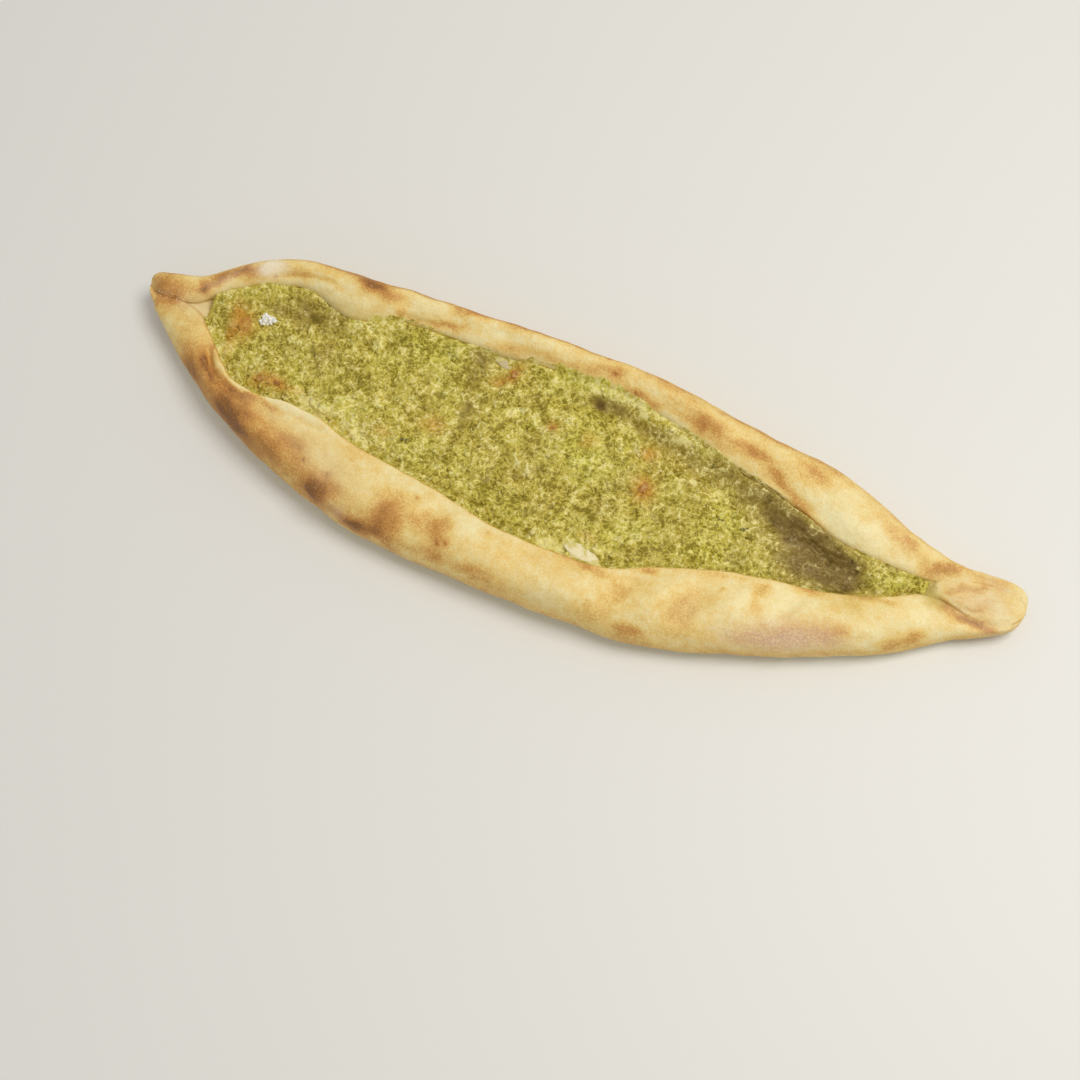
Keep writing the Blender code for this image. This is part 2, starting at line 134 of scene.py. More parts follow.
# Browning in patches, as (x, y, z, length, width, turn in degrees, amount)
TOASTED = [
    (-147, 13, 13, 15.3, 14, 20, 0.62), (-129, -8, 11, 26, 10, -58, 0.24), (-146.5, 11.5, 11, 9, 5, 10, 0.2),
    (-138, 15.5, 15, 8, 4, 30, 0.15), (-134.5, 17.5, 15, 5.9, 4.9, 40, 0.5),
    (-131.8, 23, 15.8, 9.4, 4.9, 50, 0.4), (-124, 27, 17, 15.3, 4.9, 20, 0.37),
    (-104, 41, 18, 40, 6, 5, 0.34), (-133, 1, 13, 16, 6, -60, 0.12), (-126, -10.6, 12.7, 9.4, 7.3, -45, 0.3),
    (-121.5, -6.5, 16.4, 9, 5, -60, 0.36), (-114, -16, 13.5, 42, 18, -45, 0.44),
    (-107.4, -19.6, 16.6, 11.8, 8.5, -55, 0.35), (-104.5, -22.4, 14.6, 10, 7, -45, 0.3),
    (-100.2, -19.6, 17.6, 9, 6, -45, 0.38), (-98.8, -25.6, 13.3, 10, 6, -35, 0.24),
    (-91, -28.6, 13.5, 38, 14, -25, 0.38), (-86, -26.6, 17.3, 20, 8, -20, 0.36),
    (-68, -35.2, 14.6, 10.6, 9.8, 0, 0.59), (-68.8, -35.9, 14, 4.5, 4, 0, 0.12),
    (-62.5, -35.2, 16, 10, 8, 0, 0.36), (-59, -38, 12, 14, 5, -10, 0.2),
    (-52.3, -40.9, 11.2, 10.6, 5.5, 0, 0.42), (-47, -40.5, 12.5, 20, 7, 0, 0.36),
    (-42.5, -38.2, 16, 11.8, 9.8, 40, 0.34), (-40.6, -33.6, 18, 11.8, 11, 60, 0.4),
    (-33, -41.5, 13, 16, 5, -5, 0.18), (-22.4, -34.7, 18.5, 11, 10, 60, 0.34),
    (-21.5, -41.6, 14.4, 9, 5, 0, 0.36), (-9, -41.8, 15, 12, 5, 0, 0.38), (0, -42.5, 13, 24, 6, 0, 0.12),
    (20, -43.4, 11, 34, 8, 0, 0.1), (30, -41.5, 14.6, 14, 7, 10, 0.22),
    (44.5, -41.1, 12.7, 9.4, 6.1, 8, 0.42), (60, -36, 14.5, 22, 7, 12, 0.14),
    (37.7, -31.2, 18.3, 18, 9, 60, 0.18), (59, -28.5, 18.1, 16, 9, 62, 0.2),
    (22, -27.2, 16.7, 17, 3.6, -5, 0.3), (43.2, -21.2, 16.9, 7, 3, 10, 0.34),
    (36, -22.8, 16.9, 14, 3, 10, 0.18), (64, -14.4, 16.6, 18, 3, 15, 0.24),
    (77.1, -14.9, 17.3, 6, 5, 0, 0.34), (77.9, -20.8, 17.9, 6, 4.5, 0, 0.26),
    (91.2, -9, 15.6, 9.4, 3.2, 10, 0.42), (104, -17.5, 15.4, 5.5, 4, 20, 0.34),
    (108, -4.6, 14.4, 14, 2.6, 15, 0.3), (116, -2.2, 13.6, 9, 2.6, 15, 0.3),
    (126, -9.5, 10.4, 10, 6, 35, 0.42), (81, 15.6, 12.8, 13, 4.5, -30, 0.5), (-63, -33.5, 17, 14, 9, 0, 0.2),
    (120, -13.6, 10, 8, 4, 25, 0.3), (90, -25.5, 14.3, 34, 10, 17, 0.16),
    (-79.5, 37, 20.2, 11.8, 5.8, -3, 0.85), (-72.5, 36.3, 20.1, 10.6, 4.9, -3, 0.34),
    (-88, 38.4, 20, 20, 4, 5, 0.16), (-93, 42, 17, 34, 5, 0, 0.34), (-52, 33.6, 17.5, 20.1, 4.1, 8, 0.34),
    (-67.5, 32.8, 17.4, 8, 3, 0, 0.36), (-45.4, 40, 19.9, 11.8, 4.4, -3, 0.61),
    (-29.6, 41.6, 19.4, 21.2, 5.4, 0, 0.32), (-12, 41.6, 19, 28, 4.4, 0, 0.28),
    (-60, 42, 17.5, 32, 4.4, 0, 0.3), (7, 37.6, 19.6, 10, 5, 0, 0.36), (18, 33.3, 17.4, 12, 4, -10, 0.38),
    (27, 39, 20.2, 28.3, 5.4, -10, 0.35), (29, 34.6, 19.5, 7, 3, 0, 0.22),
    (42.5, 32.2, 19.8, 14.2, 4.9, -12, 0.46), (44, 28, 17.8, 16.5, 4.4, -15, 0.32),
    (56, 37.6, 19.4, 33, 6.1, -15, 0.34), (60, 27.8, 19.1, 10, 4.4, -15, 0.34),
    (70, 22.4, 17.8, 11.8, 4.9, -30, 0.42), (77.5, 19, 16.8, 11, 3, -28, 0.38),
    (80.5, 27.4, 19.7, 11.8, 6.7, -15, 0.4), (86, 31, 17.5, 20, 5, -25, 0.2),
    (91.7, 20.7, 18.4, 8, 6, -30, 0.16), (99, 19.6, 18, 7, 5, -30, 0.16), (105, 21, 16, 22, 6, -28, 0.2),
    # (126, 13.6) browns the hollow beside the tab and paints its shade as well
    (115, 17.4, 15.3, 12, 4, -20, 0.28), (126, 13.6, 12.9, 8.5, 5.4, 15, 0.56),
    (130.5, 16.6, 12.3, 7, 4, -10, 0.38), (137, 17.2, 11.6, 10, 3, -5, 0.2),
    (146, 18.3, 10.2, 8, 3.4, -5, 0.2), (142.8, 7.1, 10.8, 6, 4, 20, 0.2), (147.9, 9, 9.8, 7, 5, 0, -0.12),
    (-60, -28, 16, 90, 26, -18, 0.10), (15, -34, 15, 70, 18, -3, 0.05), (112, -12, 13, 60, 26, 25, -0.05),
    (75, -24, 17, 40, 14, 12, -0.04), (-118, 31, 17.5, 18, 6, 20, 0.24), (-107, 34, 18.5, 16, 4, 10, 0.14),
    (70, 30, 18.5, 50, 10, -20, 0.08), (95, 18, 17.5, 34, 10, -28, -0.14), (-60, 33, 19, 20, 4, 5, -0.12),
    (-98, 33, 19, 16, 4, 5, -0.08), (129.5, 4.2, 11, 8, 5, -20, 0.3), (140, 9, 11, 26, 18, 0, 0.06),
    (-84.5, -20.6, 18.2, 12, 6, -30, 0.25), (-79, -24, 18, 11, 6.5, -35, 0.32),
    (-97, -13, 16.6, 8, 3, -10, 0.2), (-28.5, -33.2, 18.4, 11, 8, 30, 0.26),
    (-16.2, -31.5, 18.5, 9, 8, 0, -0.25), (103.5, -9, 15.6, 14, 9, 15, 0.24),
    (96, -18, 16.5, 16, 8, 15, 0.14), (57, -26.5, 18, 12, 9, 60, 0.14), (30, -28.5, 17.6, 12, 5, 0, 0.14),
    (3, -33, 18.5, 30, 13, 0, 0.11),
]

# Browning along lines, as (points, width, amount)
STREAKS = [
    ([(-135, 16.5, 14.8), (-133, 20, 15.4), (-130, 24, 16), (-125, 26.5, 16.6), (-120, 28.3, 17.3)],
      1.6, 0.22),
    ([(-112.8, 30.2, 17), (-105, 32.7, 17.7), (-94, 33.9, 19.4), (-84, 32, 18.5)], 1.0, 0.26),
    ([(-67.5, 32.5, 17.4), (-60, 32, 16.6), (-52, 33, 17.3), (-46, 34.8, 18.3)], 0.9, 0.22),
    ([(-123.7, -0.2, 15.3), (-121.5, -4, 16), (-119, -8.5, 16.6), (-114.6, -14.8, 17)], 1.2, 0.30),
    ([(-38, 32.6, 16.8), (-30, 33.4, 17.2), (-21, 35, 18.2), (-10, 35, 17.9), (-3, 35.4, 17.9),
      (8, 34.8, 17.2)], 1.7, 0.24),
    ([(18, 33.6, 17.2), (30, 31.8, 17.8), (45, 29.8, 19), (57, 28, 18.9), (66, 25.4, 18.6)], 1.6, 0.2),
    # Browning behind the near lip's bead, with the shade of its groove painted in as well
    ([(-123, -3, 15.8), (-118.5, -8.5, 16.6), (-112, -12.3, 17), (-104, -14.1, 17.2), (-96, -14.2, 17.2),
      (-88, -14.8, 17.2)], 1.7, 0.34),
    ([(-123.5, 0.5, 15.4), (-120, -4.2, 16), (-116, -7.8, 16.4), (-111, -10.4, 16.6), (-104, -11.7, 16.6),
      (-96, -11.7, 16.6), (-86, -12.6, 16.6), (-76, -14.5, 16.6)], 1.3, -0.4),
    ([(-148, 9.2, 11.5), (-142, 9.6, 13.2)], 0.6, 0.08),
    ([(129.2, 4.4, 11), (132.6, 3.9, 10.3), (136.2, 3.2, 9.8), (140.7, 2.4, 9.3), (145, 2.2, 9),
      (150, 2.8, 8)], 1.8, 0.38),
    ([(135, 3.2, 10), (138, 2.9, 9.7), (141, 2.4, 9.3), (145, 2.2, 9), (150, 2.8, 8)], 1.1, 0.26),
    ([(77, 17.3, 14.6), (82.8, 15.1, 13.6), (88, 13, 12.2), (92.5, 11.2, 11.6)], 2.1, 0.36),
    ([(128.5, 7.2, 11.6), (131.5, 6.2, 11.5), (135.3, 5.4, 10.8), (139, 4.6, 10), (143, 4.0, 9.5)],
      0.8, -0.22),
    ([(129.3, 7.4, 12.3), (132.2, 9.4, 12.7), (136, 11.3, 12.3), (139.7, 13.4, 11.4), (142, 16.5, 10.2)],
      1.5, 0.30),
    ([(136.1, 4.9, 11.2), (138.2, 4.8, 11.3), (141.5, 5.4, 10.9), (143.8, 7.2, 10.6)], 0.5, 0.18),
    ([(133.7, 6.5, 12.5), (135.9, 7.5, 12.3), (140.9, 9.7, 11.3)], 0.4, 0.14),
]

# Small dark blisters, as (x, y, z, size)
BLISTERS = [
    (-103.5, -14.9, 17.3, 1.3), (-74.3, -28.3, 17.8, 0.9), (-79.2, -32.8, 12.7, 0.8), (-65, -30, 17.9, 0.8),
    (-50.6, -40.6, 11.9, 1.2), (-33.9, -26.5, 17.9, 1.0), (-59.8, -21.5, 17.4, 0.6),
    (-22.1, -38.1, 17.4, 1.3), (-19.2, -37.7, 17.8, 1.0), (-8.2, -29.3, 17.9, 0.9), (-10.4, -34, 18.8, 0.6),
    (66.7, -19.4, 17.7, 1.0), (8.1, 36.9, 19.4, 0.9), (4.5, 41.1, 19.6, 0.7), (15.3, 37.1, 19.7, 0.7),
    (16.7, 33.8, 17.6, 0.9), (-113, 30, 17, 0.8), (76, 25.4, 19, 0.6), (-90, -19, 18, 0.6),
    (-143, 12, 14, 0.7),
]

# Flour left on the skin, as (x, y, z, length, width, turn in degrees, amount)
FLOURED = [
    (-115.4, 31.4, 17.9, 11, 6.5, 20, 1.1), (-113, 34.5, 18.5, 9, 4, 10, 0.5),
    (-129, 23, 16, 16, 5, 45, 0.45), (-144, 12, 13, 12, 7, 0, 0.12), (-58, -37, 13, 9, 7, 0, 0.45),
    (-66, -39.5, 10, 20, 4, -8, 0.4), (-30, -43, 8, 60, 4, -4, 0.3), (30, -44.5, 6, 70, 4, 0, 0.3),
    (90, -26.5, 14, 36, 10, 18, 0.5), (105, 19, 16, 34, 11, -28, 0.25),
]

# Skin stained by the filling, tinged pink or left pale and raw, as (x, y, z, length, width, turn, amount).
# The raw patches at (-91, -17.4) and (-85, -15.8) are painted shade: the grey of the hollow behind the near
# lip
STAINED = [
    (-86, 28, 16, 34, 7, 0, 0.4), (-120, 24, 13, 12, 8, 30, 0.25), (0, 33, 14, 30, 5, 0, 0.28),
    (50, 25, 14, 30, 5, -18, 0.25), (86, 13.5, 12, 26, 6, -28, 0.3), (124.5, 7, 9.5, 11, 8, 0, 1.0),
    (125.5, 6.5, 10, 6, 4, 20, 0.6), (106, -5, 14.6, 18, 2.2, 15, 0.35), (104, -8.5, 15.6, 15, 9, 15, 0.28),
    (107, 9.4, 12.6, 26, 3, -5, 0.25), (128.5, 3.4, 11, 7, 5, -20, 0.4),
]
PINK = [
    (78, -30.5, 14.5, 18, 7, 12, 0.55), (91, -25.0, 14.6, 26, 11, 18, 1.0),
    (101.5, -20.5, 14.5, 10, 7, 25, 0.5), (144.5, 17.5, 10.1, 9, 4, -5, 0.5), (147.5, 2.5, 7.5, 8, 4, 0, 0.4),
    (115, 16.8, 15.4, 10, 4, -20, 0.2), (141, 9, 11, 24, 15, 0, 0.32),
]
# Raw dough; the first and third patches are painted grey shade in the hollow behind the near lip
RAW_AND_SHADED = [
    (-91, -17.4, 18, 20, 5, -10, 0.4), (-66, -26.5, 17.8, 30, 10, -20, 0.45),
    (-85, -15.8, 17.6, 16, 3.6, -12, 0.5), (59, -28.5, 18, 13, 8, 62, 0.25), (-133, 11, 8, 12, 12, 0, 0.8),
    (-137, 11, 10, 8, 8, 0, 0.4), (143, 9, 10.5, 26, 15, 0, 0.36),
]

# The filling's own forms, as (x, y, length, width, turn in degrees, height)
BED_FORMS = [
    (-118, 12, 9, 8, 0, 0.8), (-98, 8, 12, 7, 20, -0.6), (-60, -6, 22, 10, 10, 0.7),
    (-34, 8, 8, 22, 15, -0.7), (-22, 6, 10, 20, 12, 0.8), (3, 30, 16, 7, 0, 0.9),
    (5.7, 27.6, 4.5, 3, 0, -2.6), (20, 25.5, 26, 4.5, -15, -1.4), (35, 21.5, 16, 4.5, -22, -1.2),
    (52, 19.5, 22, 6, -14, -0.7), (20, 2, 18, 10, 0, 0.7), (48, -4, 16, 9, 0, -0.5), (60, 3, 12, 8, 0, 0.6),
    (76, 12, 12, 7, -20, -0.6), (88, 6, 16, 9, -25, -0.9), (98, 3, 12, 6, -15, -1.0),
    (103.4, 7.4, 3.6, 3.4, 0, 1.0), (107.4, 6.4, 3.6, 3.6, 0, 1.0), (111.8, 5.8, 4.2, 3.8, 0, 1.1),
    (116.8, 5.8, 4.6, 4.0, 0, 1.1), (-119.8, 4.7, 3.0, 1.2, 60, -2.0), (-111.9, -6.9, 4.0, 1.3, -45, -2.2),
    (-99.9, 6.2, 2.2, 1.6, 0, -1.5), (-99.4, 9.3, 2.0, 1.6, 0, -1.4),
]

# Where the filling is fresh and yellowish, and where it is damp and brownish, with the far lip's shadow on it
# and the shade in its creases and a hollow painted in, as (x, y, length, width, turn, amount)
BED_FRESH = [
    (-119, 0, 12, 12, 0, 0.4), (-82, -6, 34, 12, -5, 0.5), (-50, 24, 26, 12, 0, 0.35), (4, 33, 22, 8, 0, 0.8),
    (12, 8, 26, 14, -20, 0.6), (38, -10, 40, 10, 15, 0.4), (58, 6, 16, 8, 0, 0.4), (111, 4.5, 16, 7, 10, 0.7),
    (70, -7, 20, 4, 12, 0.5),
]
# Painted shadow and shade: these patches darken the filling where the far lip's shadow falls on it, along the
# crease by that lip and in its hollows, as well as where it is damp
BED_DAMP_AND_SHADE = [
    (-95, 24, 28, 9, -5, 0.35), (-88, 10, 14, 10, 20, 0.3), (-25, 33, 14, 8, 0, 0.3),
    (-99, 22, 16, 6, -60, 0.4), (14, 28, 16, 5, -15, 0.45), (28, 23.5, 16, 6, -22, 0.4),
    (41, 19.5, 14, 7, -20, 0.35), (54, 18.5, 18, 8, -14, 0.42), (67, 16, 20, 10, -16, 0.5),
    (79, 11.5, 22, 14, -28, 0.65), (91, 3.5, 28, 17, -18, 1.0), (86, -1, 18, 8, 12, 0.35),
    (101, 4.6, 9, 7, 0, 0.7), (99, -2, 14, 6, 12, 0.3), (6, 27.5, 5, 3.5, 0, 1.0), (-34, 9, 4, 22, 15, 0.35),
    (-36, 28, 9, 10, 0, 0.4), (-108, 21, 9, 5, 0, 0.3),
]

# Painted light on the filling, and painted shade with a minus, as (x, y, length, width, turn, amount)
BED_TONES = [
    (-119.4, -0.5, 12, 4, -62, 0.3), (-81, -7.6, 10, 4.5, -25, 0.8), (-65, -11.5, 20, 9, -15, 0.3),
    (11.5, -24.0, 10, 4, -5, 0.7), (37, 24, 14, 7, -22, 0.4), (16, 31, 16, 4, -10, 0.3),
    (5, 31.5, 6, 4, 0, 0.3), (-58, 26.5, 14, 8, 0, -0.35), (-38.5, 20, 9, 9, 0, -0.35),
    (-92, 21.5, 9, 6, -20, -0.35), (-101, 28, 8, 5, 0, -0.3), (-117.7, 19, 6, 5, 0, -0.25),
    (-74.5, 6.5, 8, 5, 0, -0.3), (-92.5, 1.2, 8, 5, 0, -0.25), (-12.8, 30, 8, 6, 0, -0.3),
    (2.8, -7.4, 6, 9, 20, -0.35), (-4.2, -15.2, 11, 6, 0, -0.35), (-14.6, -15.8, 10, 5, 0, -0.3),
    (5.8, 8.8, 5, 8, 0, -0.25), (-30.5, -10.2, 7, 5, 0, -0.25), (32, -4, 6, 6, 0, -0.3),
    (39.8, -13.8, 10, 6, 0, -0.35), (52, -2, 6, 10, 0, -0.3), (54, -11, 8, 6, 0, -0.3),
    (7.8, 22.8, 9, 5, -10, -0.3), (122.5, 6.4, 6, 8, 0, -0.35),
]

# Where the filling is toasted orange, as (x, y, length, width, turn, amount)
BED_WARM = [
    (-116.4, 10.4, 7, 9.5, 12, 0.95), (-121, 15.4, 5, 7, 30, 0.7), (-119, 5, 4, 12, 20, 0.5),
    (-101.5, -5.2, 8, 5, 20, 0.7), (-96, -4.8, 7, 4.5, -5, 0.7), (-90, -5, 10, 3, 0, 0.35),
    (31, 4.6, 7, 9, 25, 0.85), (-24.1, 26.6, 8, 4.5, 60, 0.8), (-28, 23, 4, 4, 60, 0.5),
    (-4.4, 14.2, 4.5, 3.6, 0, 0.7), (28, 16.4, 6, 5, 30, 0.6), (-41.2, 0.4, 8, 6, 0, 0.5),
    (8, 13.6, 6, 5, 30, 0.4), (-55, -8, 8, 3, 0, 0.3), (20, -17, 6, 3, 0, 0.35),
    (108, -3.5, 12, 2.5, 15, 0.4),
]

# The white crumb, as (x, y, length, width, turn in degrees), the bits, as (x, y, length, width, height, turn,
# how tan or how red), and the specks, as (x, y, size)
WHITE_CRUMB = (-109.3, 14.9, 7.4, 4.6, 22)
PALE_BITS = [
    (21.2, -23.1, 13.0, 5.2, 1.3, -14, 0.0), (-28.6, 30.2, 7.5, 3.4, 0.7, -12, 1.0),
    (-30.6, 30.8, 3.5, 2.6, 0.8, 30, 1.0),
]
TOASTED_BITS = [
    (-116.0, 10.8, 3.2, 4.6, 1.0, 12, 0.35), (-102.0, -5.2, 3.4, 2.2, 1.0, 20, 0.8),
    (-96.6, -4.8, 2.8, 1.8, 1.0, -5, 0.9), (30.6, 5.2, 2.6, 3.6, 1.0, 25, 0.65),
    (-23.4, 27.4, 3.4, 2.4, 1.2, 60, 0.7), (-4.4, 14.2, 2.2, 1.6, 1.0, 0, 0.5),
]
DARK_SPECKS = [
    (-48.3, -8.3, 1.2), (-47.3, -7.8, 1.0), (-47.0, -8.9, 0.8), (57.0, 4.4, 1.2), (57.9, 4.8, 0.8),
    (65.3, 4.4, 1.2), (66.2, 4.9, 0.9), (64.4, 4.1, 0.7), (12.0, 2.0, 0.5), (44.5, -4.0, 0.5),
]


# --------------------------------------------------------------------------------------------------- settings


def srgb(red, green, blue):
    """A colour as Blender keeps it, from the 0 to 255 values that a colour picker shows."""
    return tuple(((value / 255 + 0.055) / 1.055) ** 2.4 for value in (red, green, blue))


def colour(name, description, default):
    """A colour property."""
    return bpy.props.FloatVectorProperty(name=name, description=description, default=default, min=0, max=1,
                                         subtype="COLOR")


def length(name, description, default):
    """A length property, given in millimetres."""
    return bpy.props.FloatProperty(name=name, description=description, default=default * MM, min=0,
                                   subtype="DISTANCE", unit="LENGTH", precision=5)


def count(name, description, default):
    """A whole-number property."""
    return bpy.props.IntProperty(name=name, description=description, default=default, min=0)


def angle(name, description, degrees):
    """An angle property, given in degrees."""
    return bpy.props.FloatProperty(name=name, description=description, default=math.radians(degrees),
                                   subtype="ANGLE", unit="ROTATION")


class BorekDough(bpy.types.PropertyGroup):
    pale: colour("Pale dough", "Skin that has hardly browned", srgb(248, 235, 180))
    golden: colour("Golden dough", "Skin that has begun to brown", srgb(238, 204, 120))
    toasted: colour("Toasted dough", "Skin that is well browned", srgb(209, 154, 76))
    browned: colour("Browned dough", "Skin in the brown patches", srgb(180, 123, 54))
    scorched: colour("Scorched dough", "The darkest spots and blisters", srgb(138, 90, 40))
    stained: colour("Stained dough", "Skin that the filling has coloured", srgb(194, 175, 88))
    # Also painted shade: the grey of the hollow behind the near lip
    raw: colour("Raw dough", "Skin inside the fold", srgb(228, 210, 162))
    pink: colour("Pinkish dough", "The dull pink patch", srgb(206, 152, 114))
    flour: colour("Flour", "Flour left on the skin", srgb(253, 242, 216))
    flour_grains: count("Flour grains", "Number of grains of flour on the skin", 600)
    seed: count("Seed", "Seed of the flour", 3)
    wave_height: length("Wave height", "Height of the slow waves in the skin", 0.48)
    ripple_height: length("Ripple height", "Height of the small ripples in the skin", 0.22)


class BorekFilling(bpy.types.PropertyGroup):
    olive: colour("Olive", "The filling's main colour", srgb(199, 179, 75))
    fresh: colour("Fresh green", "The yellowish green parts", srgb(212, 203, 88))
    # Also painted shade: the far lip's shadow on the filling and the shade in its creases and hollows
    damp_and_shade: colour("Damp", "The brownish, shaded parts", srgb(138, 115, 62))
    # Also painted highlights: the filling's lightest shade, on the tops of its curds and along the threads
    light: colour("Light grains", "The palest grains", srgb(243, 233, 160))
    white: colour("White crumb", "The crumb at the nub end", srgb(255, 254, 246))
    orange: colour("Orange bits", "Lightly toasted bits", srgb(206, 146, 56))
    russet: colour("Russet bits", "Darkly toasted bits", srgb(158, 88, 36))
    speck: colour("Specks", "Small dark specks", srgb(98, 94, 56))
    speck_light: colour("Speck light", "The lighter parts of the specks", srgb(134, 128, 76))
    shadow: colour("Shadow", "What darkens the filling's hollows", srgb(172, 165, 106))
    chalk: colour("Chalk", "The duller parts of the white crumb", srgb(248, 244, 222))
    bare: colour("Bare dough", "Unbaked dough among the filling", srgb(242, 230, 186))
    tanned: colour("Tanned dough", "Bare dough that has browned a little", srgb(206, 188, 146))
    tinged: colour("Tinged dough", "Bare dough that the filling has coloured", srgb(216, 202, 118))
    bed_step: length("Bed step", "Distance between the points of the bed", 0.37)
    lump_height: length("Lump height", "Height of the filling's lumps", 1.0)
    curd_height: length("Curd height", "Height of the curds pressed into the bed", 0.85)
    grain_size: length("Grain size", "Size of the loose grains", 0.8)
    flake_size: length("Flake size", "Size of the loose flakes", 1.9)
    shred_length: length("Shred length", "Length of the loose shreds", 2.6)
    grains: count("Grains", "Number of loose grains", 900)
    flakes: count("Flakes", "Number of loose flakes", 1150)
    shreds: count("Shreds", "Number of loose shreds", 800)
    seed: count("Seed", "Seed of everything scattered on the filling", 7)


class BorekStage(bpy.types.PropertyGroup):
    floor: colour("Floor", "The plain floor", srgb(232, 231, 226))
    floor_mottle: colour("Floor mottle", "Faint patches on the floor", srgb(222, 218, 208))
    floor_size: length("Floor size", "Side of the square floor", 4000)
    key_power: bpy.props.FloatProperty(name="Key light", description="Power of the main light", default=5.45,
                                       min=0, unit="POWER")
    key_colour: colour("Key colour", "Colour of the main light", (1.0, 0.972, 0.93))
    key_size: length("Key size", "Width of the main light", 550)
    fill_strength: bpy.props.FloatProperty(name="Fill light", description="Strength of the light all round",
                                           default=0.51, min=0)
    fill_colour: colour("Fill colour", "Colour of the light all round", (1, 0.985, 0.965))
    camera_distance: length("Camera distance", "From the camera to what it aims at", 527.02)
    camera_azimuth: angle("Camera azimuth", "Turn of the camera's place", 30.515)
    camera_elevation: angle("Camera elevation", "Height of the camera's place", 68.473)
    camera_roll: angle("Camera roll", "Turn of the picture", -8)


# --------------------------------------------------------------------------------------------- shared helpers


def mix(a, b, share):
    """The value that lies the given share of the way from a to b."""
    return a + (b - a) * share


def ease(share):
    """Shares between 0 and 1 with a soft start and end."""
    share = np.clip(share, 0, 1)
    return share * share * (3 - 2 * share)


def hill(values, middle, wide):
    """1 where a value is at the middle, fading to 0 over the width on either side."""
    return np.exp(-((values - middle) / wide) ** 2)


def noise_at(points, size, seed):
    """Soft noise between about -1 and 1 at each point, for forms of the given size."""
    shift = Vector((seed, 1.7 * seed, -seed))
    return np.array([noise.noise(Vector(point) / size + shift) for point in points.tolist()])


def drift_at(points, size, *seeds):
    """How noise pushes each point about, with one seed for each direction that it acts in."""
    drift = np.zeros((len(points), 3))
    for axis, seed in enumerate(seeds):
        drift[:, axis] = noise_at(points, size, seed)
    return drift


def curls_at(points, size, seed):
    """Thin curling ridges at the given spacing, broken up: 1 along a ridge and 0 between them."""
    broken = ease(0.55 + 1.8 * noise_at(points, 1.9 * size, seed + 5))
    return hill(noise_at(points, size, seed), 0, 0.11) * broken


def cells_at(points, size, seed):
    """Round grains of the given size: how domed they are at each point, and each grain's own number."""
    shift = Vector((seed, 1.7 * seed, -seed))
    found = [noise.voronoi(Vector(point) / size + shift) for point in points.tolist()]
    gaps = np.array([distances[:2] for distances, spots in found])
    own = np.array([noise.noise(spots[0] * 5.3) for distances, spots in found])
    return np.clip((gaps[:, 1] - gaps[:, 0]) * 1.6, 0, 1), own


def dab(points, place, long, wide, turn):
    """How strongly an oval dab acts on each point: 1 at its middle, fading out; with no z, at any height."""
    cos, sin = math.cos(math.radians(turn)), math.sin(math.radians(turn))
    away = points[:, :len(place)] - np.array(place)
    along = (away[:, 0] * cos + away[:, 1] * sin) * 2 / long
    across = (away[:, 1] * cos - away[:, 0] * sin) * 2 / wide
    deep = away[:, 2] * 2 / wide if len(place) == 3 else 0
    return np.exp(-(along ** 2 + across ** 2 + deep ** 2))


def dabs_of(patches, points):
    """What the amounts of all patches come to at each point."""
    total = np.zeros(len(points))
    for *place, long, wide, turn, amount in patches:
        total += amount * dab(points, place, long, wide, turn)
    return total


PATH_STEPS = 6


def smooth_path(knots):
    """Points on a smooth curve through the knots."""
    knots = [np.array(knot, float) for knot in knots]
    ends = [2 * knots[0] - knots[1]] + knots + [2 * knots[-1] - knots[-2]]
    path = []
    for before, start, end, after in zip(ends, ends[1:], ends[2:], ends[3:]):
        for t in np.arange(PATH_STEPS) / PATH_STEPS:
            bow = 2 * before - 5 * start + 4 * end - after
            sway = 3 * start - before - 3 * end + after
            path.append(0.5 * (2 * start + (end - before) * t + bow * t * t + sway * t ** 3))
    return np.array(path + [knots[-1]])


# The share of its length over which either end of a stroke fades, and the share that is left at the very end
STROKE_TAPER = 0.15
STROKE_END = 0.15


def stroke(points, knots, wide):
    """How strongly a stroke acts on each point: 1 on the line through its knots, fading away from it."""
    path = smooth_path(knots)
    weight = np.zeros(len(points))
    reach = 3 * wide
    low, high = path.min(0) - reach, path.max(0) + reach
    near = np.where(((points > low) & (points < high)).all(1))[0]
    if not len(near):
        return weight
    close = points[near]
    best = np.full(len(near), np.inf)
    share = np.zeros(len(near))
    steps = np.linalg.norm(np.diff(path, axis=0), axis=1)
    starts = np.concatenate(([0], np.cumsum(steps)))
    for index, (start, end) in enumerate(zip(path, path[1:])):
        span = end - start
        t = np.clip((close - start) @ span / (span @ span), 0, 1)
        gap = np.linalg.norm(close - start - t[:, None] * span, axis=1)
        nearer = gap < best
        best[nearer] = gap[nearer]
        share[nearer] = (starts[index] + t[nearer] * steps[index]) / starts[-1]
    weight[near] = hill(best, 0, wide) * ease(np.minimum(share, 1 - share) / STROKE_TAPER + STROKE_END)
    return weight


def strokes_of(lines, points):
    """What the amounts of all strokes come to at each point."""
    total = np.zeros(len(points))
    for knots, wide, amount in lines:
        total += amount * stroke(points, knots, wide)
    return total


def tree_of(piece):
    """A search tree of a piece's faces, in metres."""
    mesh = piece.data
    faces = [face.vertices for face in mesh.polygons]
    return BVHTree.FromPolygons([vert.co for vert in mesh.vertices], faces)


def height_at(tree, x, y):
    """The height of the highest face over (x, y), in millimetres, or None."""
    hit = tree.ray_cast(Vector((x * MM, y * MM, 1)), -UP)[0]
    return hit.z / MM if hit else None


def points_of(piece):
    """A mesh's points, in millimetres."""
    points = np.zeros(len(piece.data.vertices) * 3)
    piece.data.vertices.foreach_get("co", points)
    return points.reshape(-1, 3) / MM


